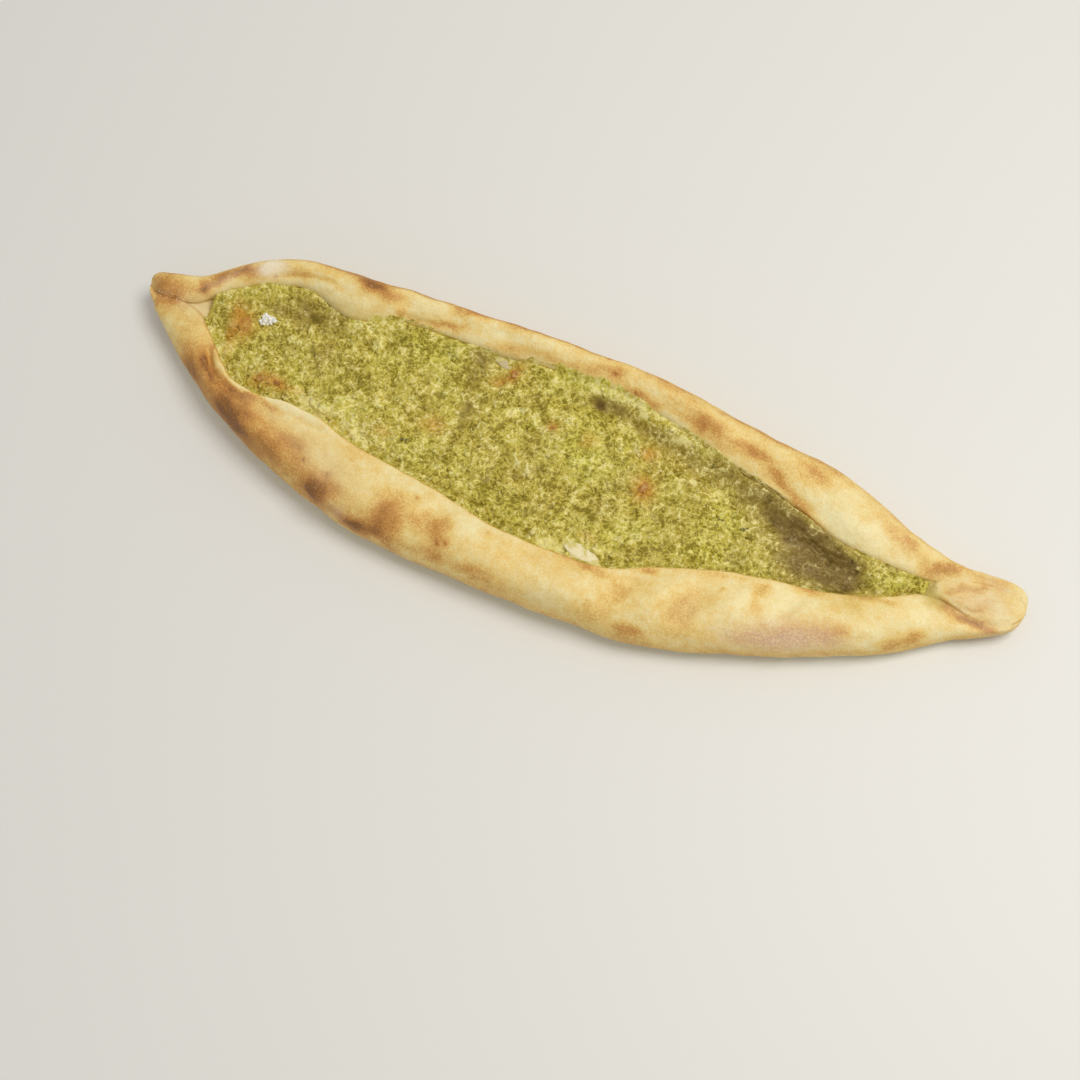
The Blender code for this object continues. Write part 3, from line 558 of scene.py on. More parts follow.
def normals_of(piece):
    """The directions in which a mesh's points face."""
    normals = np.zeros(len(piece.data.vertices) * 3, np.float32)
    piece.data.vertex_normals.foreach_get("vector", normals)
    return normals.reshape(-1, 3).astype(float)


def move_points(piece, points):
    """Put a mesh's points in new places, given in millimetres."""
    piece.data.vertices.foreach_set("co", (points * MM).astype(np.float32).ravel())
    piece.data.update()


def store(piece, name, values):
    """Keep one number for each point of a mesh, for its material to read."""
    layer = piece.data.attributes.new(name, "FLOAT", "POINT")
    layer.data.foreach_set("value", np.clip(values, 0, 1).astype(np.float32))


def select_nothing():
    """Deselect all objects."""
    for other in bpy.context.view_layer.objects:
        other.select_set(False)


def select_only(piece):
    """Select one object and make it the active one."""
    select_nothing()
    piece.select_set(True)
    bpy.context.view_layer.objects.active = piece


def add_mesh(operator, **settings):
    """Add a simple mesh with one of Blender's operators, and return its object."""
    select_nothing()
    operator(**settings)
    return bpy.context.active_object


def edit_whole(*steps):
    """Take steps, given as (operator, its settings), on all of the active mesh."""
    bpy.ops.object.mode_set(mode="EDIT")
    for operator, settings in steps:
        bpy.ops.mesh.select_all(action="SELECT")
        operator(**settings)
    bpy.ops.object.mode_set(mode="OBJECT")


def apply_modifier(piece, kind, **settings):
    """Add a modifier and apply it at once."""
    modifier = piece.modifiers.new(kind.title(), kind)
    for name, value in settings.items():
        setattr(modifier, name, value)
    select_only(piece)
    bpy.ops.object.modifier_apply(modifier=modifier.name)


def copy_of_node(node, name):
    """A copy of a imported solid, its loose triangles merged and paired into quads again."""
    piece = bpy.data.objects.new(name, frame["nodes"][node].data.copy())
    bpy.context.scene.collection.objects.link(piece)
    select_only(piece)
    edit_whole((bpy.ops.mesh.remove_doubles, {"threshold": 0.01 * MM}),
               (bpy.ops.mesh.tris_convert_to_quads, {"face_threshold": math.radians(60),
                                                     "shape_threshold": math.radians(60)}))
    return piece


def refine(piece, wanted):
    """Cut in four the faces that are wanted, given the middles and directions of all faces."""
    mesh = piece.data
    middles = np.array([face.center for face in mesh.polygons]) / MM
    directions = np.array([face.normal for face in mesh.polygons])
    chosen = wanted(middles, directions)
    select_only(piece)
    bpy.context.tool_settings.mesh_select_mode = (False, False, True)
    bpy.ops.object.mode_set(mode="EDIT")
    bpy.ops.mesh.select_all(action="DESELECT")
    bpy.ops.object.mode_set(mode="OBJECT")
    mesh.polygons.foreach_set("select", chosen)
    bpy.ops.object.mode_set(mode="EDIT")
    bpy.ops.mesh.subdivide(number_cuts=1, ngon=False)
    bpy.ops.object.mode_set(mode="OBJECT")


def finish_piece(piece, node, material):
    """Dress a piece, and let it ride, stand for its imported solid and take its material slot."""
    piece.data.materials.clear()
    piece.data.materials.append(material)
    piece.data.shade_smooth()
    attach(piece, "root")
    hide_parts(node)


# ---------------------------------------------------------------------------------------------- the lip lines


RIM_STEP = 1.0
RIM_START, RIM_END = -133.0, 125.0
# The skin's height at the edges, the steps in which they are looked for, and where their height is taken
RIM_RISE = 12.0
RIM_SEARCH = 0.4
RIM_HALVINGS = 6
RIM_BEHIND = 0.8
TROUGH_MIDDLE = np.array([(-134, 12), (-126, 12), (-110, 10), (100, 4), (110, 4.5), (125, 6.8)])


def rim_lines():
    """The free edges of the near and far lips over the trough, each as an array of points."""
    dough = tree_of(frame["nodes"]["dough"])
    near, far = [], []
    for x in np.arange(RIM_START, RIM_END + RIM_STEP / 2, RIM_STEP):
        for line, outward in ((near, -1), (far, 1)):
            inside = outside = float(np.interp(x, *TROUGH_MIDDLE.T))
            while height_at(dough, x, outside) < RIM_RISE:
                inside, outside = outside, outside + RIM_SEARCH * outward
            for _ in range(RIM_HALVINGS):
                between = (inside + outside) / 2
                low = height_at(dough, x, between) < RIM_RISE
                inside, outside = (between, outside) if low else (inside, between)
            line.append((x, inside, height_at(dough, x, outside + RIM_BEHIND * outward)))
    return np.array(near), np.array(far)


NEAR_RIM, FAR_RIM = rim_lines()

# The lips' edges, as (line, which way is outward, where the edge is sharp, height of its bead, depth of the
# groove behind), and how far back the bead and the groove lie and how wide they are
LIP_BEADS = [(NEAR_RIM, -1, (-127, -62), 1.25, 1.15), (FAR_RIM, 1, (60, 104), 0.5, 0.1)]
BEAD = (0.7, 0.8)
GROOVE = (3.3, 1.6)


def rim_y(line, x):
    """The y of a lip's free edge at each x."""
    return np.interp(x, line[:, 0], line[:, 1])


def rim_z(line, x):
    """The height of a lip's free edge at each x."""
    return np.interp(x, line[:, 0], line[:, 2])


# -------------------------------------------------------------------------------------------- material making


def new_material(name):
    """A material with one Principled shader, as (material, node tree)."""
    material = bpy.data.materials.new(name)
    material.use_nodes = True
    return material, material.node_tree


def plug(tree, socket, value):
    """Give a socket a value or a link."""
    if isinstance(value, bpy.types.NodeSocket):
        tree.links.new(value, socket)
    elif hasattr(value, "__len__") and len(value) == 3 and socket.type == "RGBA":
        socket.default_value = (*value, 1)
    else:
        socket.default_value = value


def add_node(tree, kind, settings=None, **sockets):
    """Add a node; its sockets are named in lower case, with _ for a space."""
    node = tree.nodes.new(kind)
    for name, value in (settings or {}).items():
        setattr(node, name, value)
    for name, value in sockets.items():
        plug(tree, node.inputs[name.replace("_", " ").title()], value)
    return node


def place_in(tree):
    """Where a point lies on the piece."""
    return add_node(tree, "ShaderNodeTexCoord").outputs["Object"]


def stored(tree, name):
    """The number kept on the mesh under a name."""
    return add_node(tree, "ShaderNodeAttribute", {"attribute_name": name}).outputs["Fac"]


def grain_noise(tree, size, detail=3.0, roughness=0.55, seed=0.0):
    """Noise with forms of the given size in millimetres."""
    shifted = add_node(tree, "ShaderNodeVectorMath", {"operation": "ADD"})
    plug(tree, shifted.inputs[0], place_in(tree))
    shifted.inputs[1].default_value = (seed, seed, seed)
    node = add_node(tree, "ShaderNodeTexNoise", scale=1 / (size * MM), detail=detail, roughness=roughness)
    plug(tree, node.inputs["Vector"], shifted.outputs[0])
    return node.outputs["Fac"]


def swing(tree, *form):
    """The same noise, swinging about 0."""
    return maths(tree, "SUBTRACT", grain_noise(tree, *form), 0.5)


def grain_cells(tree, size):
    """Cell pattern with cells of the given size in millimetres."""
    node = add_node(tree, "ShaderNodeTexVoronoi", scale=1 / (size * MM))
    plug(tree, node.inputs["Vector"], place_in(tree))
    return node.outputs["Distance"]


def maths(tree, operation, first, second=0.0, third=None):
    """One step of arithmetic."""
    node = add_node(tree, "ShaderNodeMath", {"operation": operation})
    for socket, value in zip(node.inputs, (first, second, third)):
        if value is not None:
            plug(tree, socket, value)
    return node.outputs[0]


def spread(tree, value, low, high, to_low=0.0, to_high=1.0):
    """A value moved from one range to another, with soft ends."""
    node = add_node(tree, "ShaderNodeMapRange", {"interpolation_type": "SMOOTHSTEP"}, value=value,
                    from_min=low, from_max=high, to_min=to_low, to_max=to_high)
    return node.outputs[0]


def blend(tree, share, first, second, kind="MIX"):
    """Two colours mixed by a share."""
    node = add_node(tree, "ShaderNodeMix", {"data_type": "RGBA", "blend_type": kind})
    plug(tree, node.inputs[0], share)
    plug(tree, node.inputs[6], first)
    plug(tree, node.inputs[7], second)
    return node.outputs[2]


def ramp(tree, value, stops):
    """A colour that runs through stops, given as (place, colour)."""
    node = add_node(tree, "ShaderNodeValToRGB")
    elements = node.color_ramp.elements
    while len(elements) < len(stops):
        elements.new(1)
    for element, (place, shade) in zip(elements, stops):
        element.position = place
        element.color = (*shade, 1)
    plug(tree, node.inputs[0], value)
    return node.outputs[0]


def bump(tree, height, depth, strength=1.0, under=None):
    """A relief of the given depth in millimetres."""
    node = add_node(tree, "ShaderNodeBump", strength=strength, distance=depth * MM, height=height)
    if under is not None:
        plug(tree, node.inputs["Normal"], under)
    return node.outputs["Normal"]


REFRACTION = 1.45


def dress(material, base, relief, roughness, subsurface=0.0, radius=(1, 1, 1), reach=1.0, coat=0.0,
          coat_roughness=0.3, specular=0.5, tint=(1, 1, 1)):
    """Give a material its colour, relief and even values; the light's reach inside is in millimetres."""
    values = {"Base Color": base, "Normal": relief, "Roughness": roughness, "IOR": REFRACTION,
              "Subsurface Weight": subsurface, "Subsurface Radius": radius, "Subsurface Scale": reach * MM,
              "Coat Weight": coat, "Coat Roughness": coat_roughness, "Specular IOR Level": specular,
              "Specular Tint": tint}
    tree = material.node_tree
    for name, value in values.items():
        if value is not None:
            plug(tree, tree.nodes["Principled BSDF"].inputs[name], value)
    return material


def ramp_between(tree, share, low, middle, high):
    """A colour from low through middle to high, as the share goes from 0 to 1."""
    lower = blend(tree, spread(tree, share, 0.0, 0.5), low, middle)
    return blend(tree, spread(tree, share, 0.5, 1.0), lower, high)


def baked_dough(settings):
    """Dough skin: pale to scorched by the browning kept on the mesh, with flour, stains and a fine grain."""
    material, tree = new_material("baked dough")
    baked = stored(tree, "baked")
    sandy = spread(tree, baked, 0.1, 0.5, 0.5, 0.85)
    for share, form in ((0.24, (11, 3, 0.55, 13)), (0.46, (3.6, 4, 0.65)), (sandy, (0.6, 3, 0.65, 3))):
        baked = maths(tree, "MULTIPLY_ADD", swing(tree, *form), share, baked)
    skin = ramp(tree, baked, [(0.0, settings.pale), (0.28, settings.golden), (0.55, settings.toasted),
                              (0.8, settings.browned), (1.0, settings.scorched)])
    skin = blend(tree, stored(tree, "stained"), skin, settings.stained)
    skin = blend(tree, stored(tree, "raw"), skin, settings.raw)
    blush = spread(tree, grain_noise(tree, 0.7, 2, 0.6, 17), 0.3, 0.65, 0.35, 1)
    skin = blend(tree, maths(tree, "MULTIPLY", stored(tree, "pink"), blush), skin, settings.pink)
    floured = stored(tree, "floured")
    dots = spread(tree, grain_cells(tree, 0.9), 0.18, 0.42, 1, 0)
    patchy = spread(tree, grain_noise(tree, 2.2, 3, 0.6, 7), 0.42, 0.62)
    dust = maths(tree, "MULTIPLY", floured, maths(tree, "MULTIPLY", dots, patchy))
    haze = maths(tree, "MULTIPLY", maths(tree, "MULTIPLY", floured, floured), 0.8)
    skin = blend(tree, maths(tree, "MAXIMUM", dust, haze), skin, settings.flour)
    relief = bump(tree, grain_noise(tree, 0.5, 4, 0.65, 11), 0.16, 0.8)
    relief = bump(tree, grain_noise(tree, 2.6, 4, 0.6, 5), 0.55, 0.7, relief)
    relief = bump(tree, dust, 0.15, 0.7, relief)
    return dress(material, skin, relief, 0.6, 0.08, (1.0, 0.65, 0.35), 1.2)


def green_filling(settings, name):
    """Moist green filling: olive, fresher or damper by the numbers kept on the mesh, with lighter grains.
    The damper parts also carry painted shade, and the lighter ones painted highlights.
    """
    material, tree = new_material(name)
    damp_and_shade = stored(tree, "damp_and_shade")
    dry_and_unshaded = maths(tree, "SUBTRACT", 1.0, maths(tree, "MULTIPLY", damp_and_shade, 0.6))
    body = blend(tree, stored(tree, "fresh"), settings.olive, settings.fresh)
    body = blend(tree, damp_and_shade, body, settings.damp_and_shade)
    mottle = maths(tree, "MULTIPLY", swing(tree, 0.7, 4, 0.7, 2), dry_and_unshaded)
    # Painted highlights: thin bright threads, like glints along wet shreds
    threads = spread(tree, maths(tree, "ABSOLUTE", swing(tree, 2.0, 2, 0.5, 19)), 0.0, 0.09, 0.38, -0.1)
    shade = stored(tree, "shade")
    for part, share in ((mottle, 0.65), (swing(tree, 3.4, 3, 0.6, 9), 1.1), (threads, dry_and_unshaded)):
        shade = maths(tree, "MULTIPLY_ADD", part, share, shade)
    # Painted shade and highlights: from the shadow colour in the hollows to the light colour on the tops
    lighter = blend(tree, 0.8, body, settings.light)
    darker = blend(tree, 0.88, body, settings.shadow, "MULTIPLY")
    body = ramp_between(tree, shade, darker, body, lighter)
    body = blend(tree, stored(tree, "warm"), body, settings.orange)
    relief = bump(tree, grain_noise(tree, 0.5, 4, 0.65, 4), 0.13, 0.8)
    return dress(material, body, relief, 0.29, 0.3, (1.0, 0.9, 0.3), specular=0.42, tint=(1.0, 0.93, 0.62))


# -------------------------------------------------------------------------------------------------- the dough


BLISTER_RISE = 0.22
# How baked the skin is all over, and how much more on the outer walls, low on the near one and at its foot,
# and underneath; and how much darker it is made on what faces the far side
BAKED = 0.125
BAKED_OUTER, BAKED_LOW, BAKED_FOOT, FAR_FACING_DARKER, BAKED_UNDER = 0.12, 0.16, -0.30, 0.24, 0.16
# The height up to which the foot stays flat, and over which the skin's relief grows from there
FOOT_TOP, FOOT_FADE = 0.4, 2.5


def blisters(times, amount):
    """The blisters as patches, so many times their own size."""
    return [(x, y, z, times * size, times * size, 0, amount) for x, y, z, size in BLISTERS]


def shape_dough(piece, settings):
    """Raise the swells, press in the folds and let the skin wave, with the foot left flat."""
    points, normals = points_of(piece), normals_of(piece)
    for knots, wide, reach in BRIDGED:
        fill_groove(points, normals, knots, wide, reach)
    lift = settings.wave_height / MM * noise_at(points, 13, 3)
    lift += settings.ripple_height / MM * noise_at(points, 4.5, 9)
    lift += dabs_of(SWELLS + blisters(1.6, BLISTER_RISE), points) + strokes_of(FOLDS, points)
    lift *= ease((points[:, 2] - FOOT_TOP) / FOOT_FADE)
    lift += rim_bead(points)
    moved = points + normals * lift[:, None]
    moved[:, 2] = np.maximum(moved[:, 2], 0)
    move_points(piece, moved)


def rim_bead(points):
    """The thin rounded bead along each lip's edge, and the shallow groove behind it."""
    lift = np.zeros(len(points))
    x = points[:, 0]
    for line, outward, (start, end), bead, groove in LIP_BEADS:
        back = (points[:, 1] - rim_y(line, x)) * outward
        top = points[:, 2] > rim_z(line, x) - 2.5
        within = (x > RIM_START + 6) & (x < RIM_END - 10) & top
        sharp = 0.25 + 0.85 * ease((x - start) / 8) * ease((end - x) / 14)
        uneven = sharp * (0.85 + 0.4 * noise_at(points * ALONG, 9, 5 * outward))
        lift += within * uneven * (bead * hill(back, *BEAD) - groove * hill(back, *GROOVE))
    return lift


def fill_groove(points, normals, knots, wide, reach):
    """Even out a groove: under a stroke, the skin's height becomes the mean of the heights round it."""
    weight = stroke(points, knots, wide) * (normals[:, 2] > 0.05)
    chosen = np.where(weight > 0.02)[0]
    low, high = points[chosen].min(0) - 2 * reach, points[chosen].max(0) + 2 * reach
    around = np.where((points > low).all(1) & (points < high).all(1) & (normals[:, 2] > 0.05))[0]
    gaps = ((points[chosen, None, :2] - points[None, around, :2]) ** 2).sum(2)
    shares = np.exp(-gaps / reach ** 2)
    level = shares @ points[around, 2] / shares.sum(1)
    points[chosen, 2] = mix(points[chosen, 2], level, np.minimum(1.2 * weight[chosen], 1))


def brown_dough(piece):
    """Keep on the mesh how baked, floured, stained, raw (partly painted shade) and pink each point is."""
    points, normals = points_of(piece), normals_of(piece)
    z = points[:, 2]
    strayed = points + 1.5 * (drift_at(points, 6, 21, 33, 47) + 0.4 * drift_at(points, 2, 52, 61, 74))
    baked = BAKED + 0.08 * noise_at(points, 22, 81) + 0.06 * noise_at(points, 8, 15)
    outer = ease(-normals[:, 2] + 0.75) * ease((16 - z) / 8)
    baked += BAKED_OUTER * outer * ease((z - 1.2) / 2)
    foot = outer * (points[:, 1] < 0) * (1 + 0.5 * noise_at(points, 7, 83))
    baked += foot * (BAKED_LOW * hill(z, 8, 4) + BAKED_FOOT * hill(z, 2.6, 1.3))
    baked += FAR_FACING_DARKER * ease((normals[:, 1] - 0.5) / 0.35) * ease((z - 8) / 6)
    underneath = ease(-normals[:, 2] * 1.5) * ease((3 - z) / 3)
    baked += underneath * (BAKED_UNDER + 0.30 * noise_at(points, 11, 66))
    baked += dabs_of(TOASTED, strayed) + strokes_of(STREAKS, strayed)
    baked += dabs_of(blisters(1, 0.6) + blisters(3, 0.12), points)
    store(piece, "baked", baked)
    store(piece, "floured", flour_at(strayed) + 0.05)
    for name, patches in (("stained", STAINED), ("raw", RAW_AND_SHADED), ("pink", PINK)):
        store(piece, name, dabs_of(patches, strayed))


def flour_at(points):
    """How floured the skin is at each point."""
    return np.minimum(dabs_of(FLOURED, points), 1)


def make_flour(piece, settings):
    """Tiny grains of flour on the skin, thickest where it is floured."""
    random = np.random.default_rng(settings.seed)
    kinds = [pebble(0.3, seed) for seed in range(4)]
    points, normals = points_of(piece), normals_of(piece)
    chance = (flour_at(points) + 0.01) * (normals[:, 2] > 0.1) * (points[:, 2] > 1)
    number = settings.flour_grains
    places = points[random.choice(len(points), number, p=chance / chance.sum()), :2]
    places += random.uniform(-0.5, 0.5, (number, 2))
    sizes = random.uniform(0.15, 0.36, number)
    grains = scatter("flour_grains", kinds, places, sizes, 0.7, 60, 0.35, tree_of(piece), None, random)[0]
    material = dress(new_material("flour")[0], settings.flour, None, 0.8)
    finish_piece(grains, "dough", material)


class BOREK_OT_dough(bpy.types.Operator):
    """Make the dough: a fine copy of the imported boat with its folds, blisters and browning"""

    bl_idname = "borek.dough"
    bl_label = "Dough"

    def execute(self, context):
        settings = context.scene.borek_dough
        piece = copy_of_node("dough", "baked_dough_boat")
        apply_modifier(piece, "SUBSURF", levels=2, render_levels=2)
        refine(piece, self.fine_faces)
        shape_dough(piece, settings)
        brown_dough(piece)
        finish_piece(piece, "dough", baked_dough(settings))
        make_flour(piece, settings)
        return {"FINISHED"}

    @staticmethod
    def fine_faces(middles, directions):
        """The tab's and the nub's upper faces, where the wrinkles and the pinch are."""
        x, z = middles[:, 0], middles[:, 2]
        ends = ((x > 119) | (x < -134)) & (directions[:, 2] > 0.0) & (z > 5)
        return ends & (np.abs(middles[:, 1] - 9) < 15)


# ------------------------------------------------------------------------------------------------ the filling


BED_START, BED_END = -132.4, 127.0
BED_ACROSS = 134
# How far the bed goes under a lip and over the far one, and its heights at its underside and at its two ends
BED_TUCK, BED_CLIMB = 2.2, 3.0
BED_LOW, BED_NUB, BED_FILM = 5.8, 7.8, 9.7
# How far below each lip the filling stays, and how far from it the filling begins to rise
NEAR_DROP, FAR_DROP = 2.2, 1.1
NEAR_PULL, FAR_PULL = 2.6, 7.5
# The thinnest and thickest film of filling on the far lip; below 0 it is under the skin
FILM = (-0.9, 0.35)
# How wide the curds, the crumbs among them and the pieces between the cracks are
CURD_SIZE, CRUMB_SIZE, CRACK_SIZE = 3.3, 1.6, 6.5
# How fresh and how damp the filling is all over
FRESH_ALL, DAMP_ALL = 0.30, 0.06
# How much the painted light and shade count, and the shade that damp and shaded filling is drawn to and how
# strongly
TONE_STRENGTH = 1.25
DAMP_SHADE, DAMP_CALM = 0.36, 0.68
# Where the filling lies further up the far lip (or less far), as (x, half length, millimetres more)
SPILLS = [(-72, 5, 1.0), (-64, 5, 0.6), (-19, 3, 0.9), (-9, 3, 1.0), (6, 6, 1.2), (18, 5, 0.8), (34, 6, 0.4),
          (50, 6, 0.4), (62, 4, 0.5), (-92, 9, -1.0), (-46, 6, -0.4), (-29, 4, -2.0), (107, 12, -0.6)]
# Where the filling stays lower along the far lip, as (x, half length, millimetres lower)
FAR_LOWS = [(-92, 10, 1.2), (-29, 5, 2.2), (82, 15, -0.5), (108, 12, -0.5)]


def far_climb(x):
    """How much the filling climbs over the far lip at x: 1 where it spills over, 0 where it stays inside."""
    stretches = ease((79 - x) / 6) + ease((x - 96) / 6) * ease((118 - x) / 6)
    return (1 - 0.9 * hill(x, -96, 17)) * ease((x + 124) / 8) * stretches


def bed_sides(x):
    """The bed's near and far sides at x: under the near lip, over the far lip, and rounded at both ends."""
    near = float(rim_y(NEAR_RIM, x)) - BED_TUCK
    far = float(rim_y(FAR_RIM, x)) + mix(BED_TUCK, BED_CLIMB, float(far_climb(x)))
    ends = math.sqrt(float(ease((x - BED_START + 0.8) / 2.2) * ease((BED_END - x + 0.6) / 6)))
    middle = (near + far) / 2
    return mix(middle, near, ends), mix(middle, far, ends)


def bed_level(tree, x, y):
    """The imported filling's height round (x, y), smoothed over a few millimetres."""
    around = [(0, 0), (2.4, 0), (-2.4, 0), (0, 2.0), (0, -2.0)]
    heights = [height_at(tree, x + dx, y + dy) for dx, dy in around]
    heights = [value for value in heights if value is not None]
    return sum(heights) / len(heights) if heights else 11.0


def smoothed(values, shares, across):
    """Values on the bed's grid, evened out with those of the points next to them."""
    order = np.lexsort((shares[:, 0], shares[:, 1]))
    grid = np.array(values)[order].reshape(-1, across)
    for _ in range(6):
        wider = np.pad(grid, 1, mode="edge")
        grid = (wider[:-2, 1:-1] + wider[2:, 1:-1] + wider[1:-1, :-2] + wider[1:-1, 2:] + 2 * grid) / 6
    result = np.empty(len(order))
    result[order] = grid.ravel()
    return result


def rim_pull(points):
    """How far the bed is drawn up to each lip, as (share, height) with the share 1 at the lip."""
    x, y = points[:, 0], points[:, 1]
    near_share = ease(1 - (y - rim_y(NEAR_RIM, x)) / NEAR_PULL)
    far_share = ease(1 - (rim_y(FAR_RIM, x) - y) / FAR_PULL)
    use_near = near_share > far_share
    share = np.where(use_near, near_share, far_share)
    drop = np.full(len(x), FAR_DROP)
    for lx, wide, lower in FAR_LOWS:
        drop += lower * hill(x, lx, wide)
    return share, np.where(use_near, rim_z(NEAR_RIM, x) - NEAR_DROP, rim_z(FAR_RIM, x) - drop)


def spill(points, relief, skin):
    """The bed's heights, with a film on the far lip and the rest of the edge kept below the skin."""
    x, y, z = points.T
    past = y - rim_y(FAR_RIM, x)
    level = points * LEVEL
    reach = 0.35 + 0.8 * ease(0.5 + noise_at(points * ALONG, 9, 71))
    for sx, wide, more in SPILLS:
        reach += more * hill(x, sx, wide)
    ragged = 0.7 + 0.45 * noise_at(level, 3.2, 77) + 0.3 * noise_at(level, 1.3, 79)
    thick = np.clip(0.6 * (ragged - past / np.maximum(reach, 0.2)), *FILM)
    high, climb = z.copy(), far_climb(x)
    for index in np.where(past > 0)[0]:
        top = height_at(skin, x[index], y[index])
        if top is not None:
            lying = top + thick[index] + (0.2 * relief[index] if thick[index] > 0 else 0)
            high[index] = mix(min(z[index], top - 0.5), lying, climb[index])
    return high


def bed_relief(points, settings):
    """The bed's lumps, curds and cracks, as (height, shade)."""
    level = points * LEVEL
    drift = drift_at(level, 2.6, 12, 25)
    loose = level + 1.3 * drift
    knobs = noise_at(level, 4.6, 6)
    curds, curd = cells_at(loose, CURD_SIZE, 8)
    crumbs, crumb = cells_at(loose, CRUMB_SIZE, 29)
    curls = curls_at(loose, 3.0, 34) + 0.8 * curls_at(loose, 1.8, 38)
    calm = ease(0.5 + 1.8 * noise_at(level, 7, 44))
    rough = curds ** 0.7 * (0.6 + 0.7 * curd) + 0.3 * crumbs * (0.8 + 0.9 * crumb)
    rough += 0.22 * noise_at(loose, 0.9, 31) + 0.7 * curls
    cracks = hill(cells_at(level + 2.2 * drift, CRACK_SIZE, 61)[0], 0, 0.16)
    cracks *= ease(2.2 * noise_at(level, 11, 57))
    high = settings.lump_height / MM * (0.8 * noise_at(level, 9, 2) + knobs)
    high += settings.curd_height / MM * mix(1.1, 0.4, calm) * rough - 0.8 * cracks
    # Painted light and shade: lighter on the tops of curds, crumbs and knobs and along the curls, darker
    # between them; each curd and crumb also keeps a tone of its own
    shade = 0.22 + 0.22 * curds + 0.38 * curd + 0.1 * crumbs + 0.34 * crumb + 0.22 * knobs
    shade += 0.3 * curls * mix(1.2, 0.6, calm)
    return high, np.clip(shade, 0, 1)


def make_bed(settings):
    """The bed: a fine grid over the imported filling's top, drawn up to the lips and closed underneath."""
    tree = tree_of(frame["nodes"]["filling"])
    rows = round((BED_END - BED_START) * MM / settings.bed_step)
    bed = add_mesh(bpy.ops.mesh.primitive_grid_add, x_subdivisions=rows, y_subdivisions=BED_ACROSS, size=2)
    bed.name = bed.data.name = "filling_bed"
    shares = points_of(bed) * MM
    x = mix(BED_START, BED_END, (shares[:, 0] + 1) / 2)
    sides = {value: bed_sides(value) for value in np.unique(np.round(x, 4))}
    limits = np.array([sides[value] for value in np.round(x, 4)])
    y = mix(limits[:, 0], limits[:, 1], (shares[:, 1] + 1) / 2)
    level = smoothed([bed_level(tree, px, py) for px, py in zip(x, y)], shares, rows + 1)
    points = np.stack([x, y, level], 1)
    points[:, 2] += dabs_of(BED_FORMS, points)
    relief, shade = bed_relief(points, settings)
    relief *= 1 - 0.2 * np.clip(tints_at(points)[1], 0, 1)
    share, high = rim_pull(points)
    points[:, 2] = mix(points[:, 2], high, share) + relief * (1 - 0.5 * share)
    # Painted light: the filling drawn up to the far lip is made lighter, against the lip's shade
    shade = shade + 0.16 * share * (y > 10)
    points[:, 2] = spill(points, relief, tree_of(bpy.data.objects["baked_dough_boat"]))
    ends = ease((x - BED_START) / 1.8) * ease((BED_END - x) / 8)
    points[:, 2] = mix(np.where(x > 0, BED_FILM, BED_NUB), points[:, 2], ends)
    move_points(bed, points)
    close_below(bed)
    below = np.full(len(bed.data.vertices) - len(shade), 0.3)
    keep_filling_tints(bed, np.concatenate([shade, below]))
    return bed


def close_below(bed):
    """Extrude the open edge of a sheet down to the trough's floor and close it there."""
    top = len(bed.data.vertices)
    select_only(bed)
    bpy.context.tool_settings.mesh_select_mode = (False, True, False)
    bpy.ops.object.mode_set(mode="EDIT")
    bpy.ops.mesh.select_all(action="SELECT")
    bpy.ops.mesh.region_to_loop()
    bpy.ops.mesh.extrude_edges_move(TRANSFORM_OT_translate={"value": (0, 0, -0.001)})
    bpy.ops.object.mode_set(mode="OBJECT")
    points = points_of(bed)
    points[top:, 2] = BED_LOW
    points[top:, 1] = np.minimum(points[top:, 1], rim_y(FAR_RIM, points[top:, 0]) + 0.5)
    move_points(bed, points)
    bpy.ops.object.mode_set(mode="EDIT")
    bpy.ops.mesh.edge_face_add()
    bpy.ops.mesh.select_all(action="SELECT")
    bpy.ops.mesh.normals_make_consistent(inside=False)
    bpy.ops.object.mode_set(mode="OBJECT")


def tints_at(points):
    """How fresh, and how damp and in painted shade, the filling is at each point."""
    strayed = points + 2.0 * drift_at(points, 5, 91, 97)
    wet_and_shaded = dabs_of(BED_DAMP_AND_SHADE, strayed)
    fresh = FRESH_ALL + 0.45 * noise_at(points, 10, 101) + 0.25 * noise_at(points, 3.5, 107)
    damp_and_shade = DAMP_ALL + 0.28 * noise_at(points, 12, 113) + 0.15 * noise_at(points, 4, 119)
    return fresh + dabs_of(BED_FRESH, strayed) - wet_and_shaded, damp_and_shade + wet_and_shaded


def keep_filling_tints(piece, shade):
    """Keep the filling's tints and shade on a mesh."""
    points = points_of(piece)
    fresh, damp_and_shade = tints_at(points)
    strayed = points + 0.8 * drift_at(points, 1.6, 131, 137)
    shade = shade + TONE_STRENGTH * dabs_of(BED_TONES, strayed)
    store(piece, "warm", dabs_of(BED_WARM, strayed))
    store(piece, "fresh", fresh)
    store(piece, "damp_and_shade", damp_and_shade)
    store(piece, "shade", mix(shade, DAMP_SHADE, DAMP_CALM * np.clip(damp_and_shade, 0, 1)))


class BOREK_OT_filling(bpy.types.Operator):
    """Make the filling's bed, pressed up to the lips"""

    bl_idname = "borek.filling"
    bl_label = "Filling"

    def execute(self, context):
        settings = context.scene.borek_filling
        bed = make_bed(settings)
        finish_piece(bed, "filling", green_filling(settings, "green filling"))
        return {"FINISHED"}


# ----------------------------------------------------------------------------------------------- loose crumbs


def take_shape():
    """The active object as (points, faces), and the object removed."""
    start = bpy.context.active_object
    mesh = start.data
    points = np.array([vert.co for vert in mesh.vertices])
    faces = np.array([face.vertices for face in mesh.polygons])
    bpy.data.objects.remove(start)
    bpy.data.meshes.remove(mesh)
    return points, faces


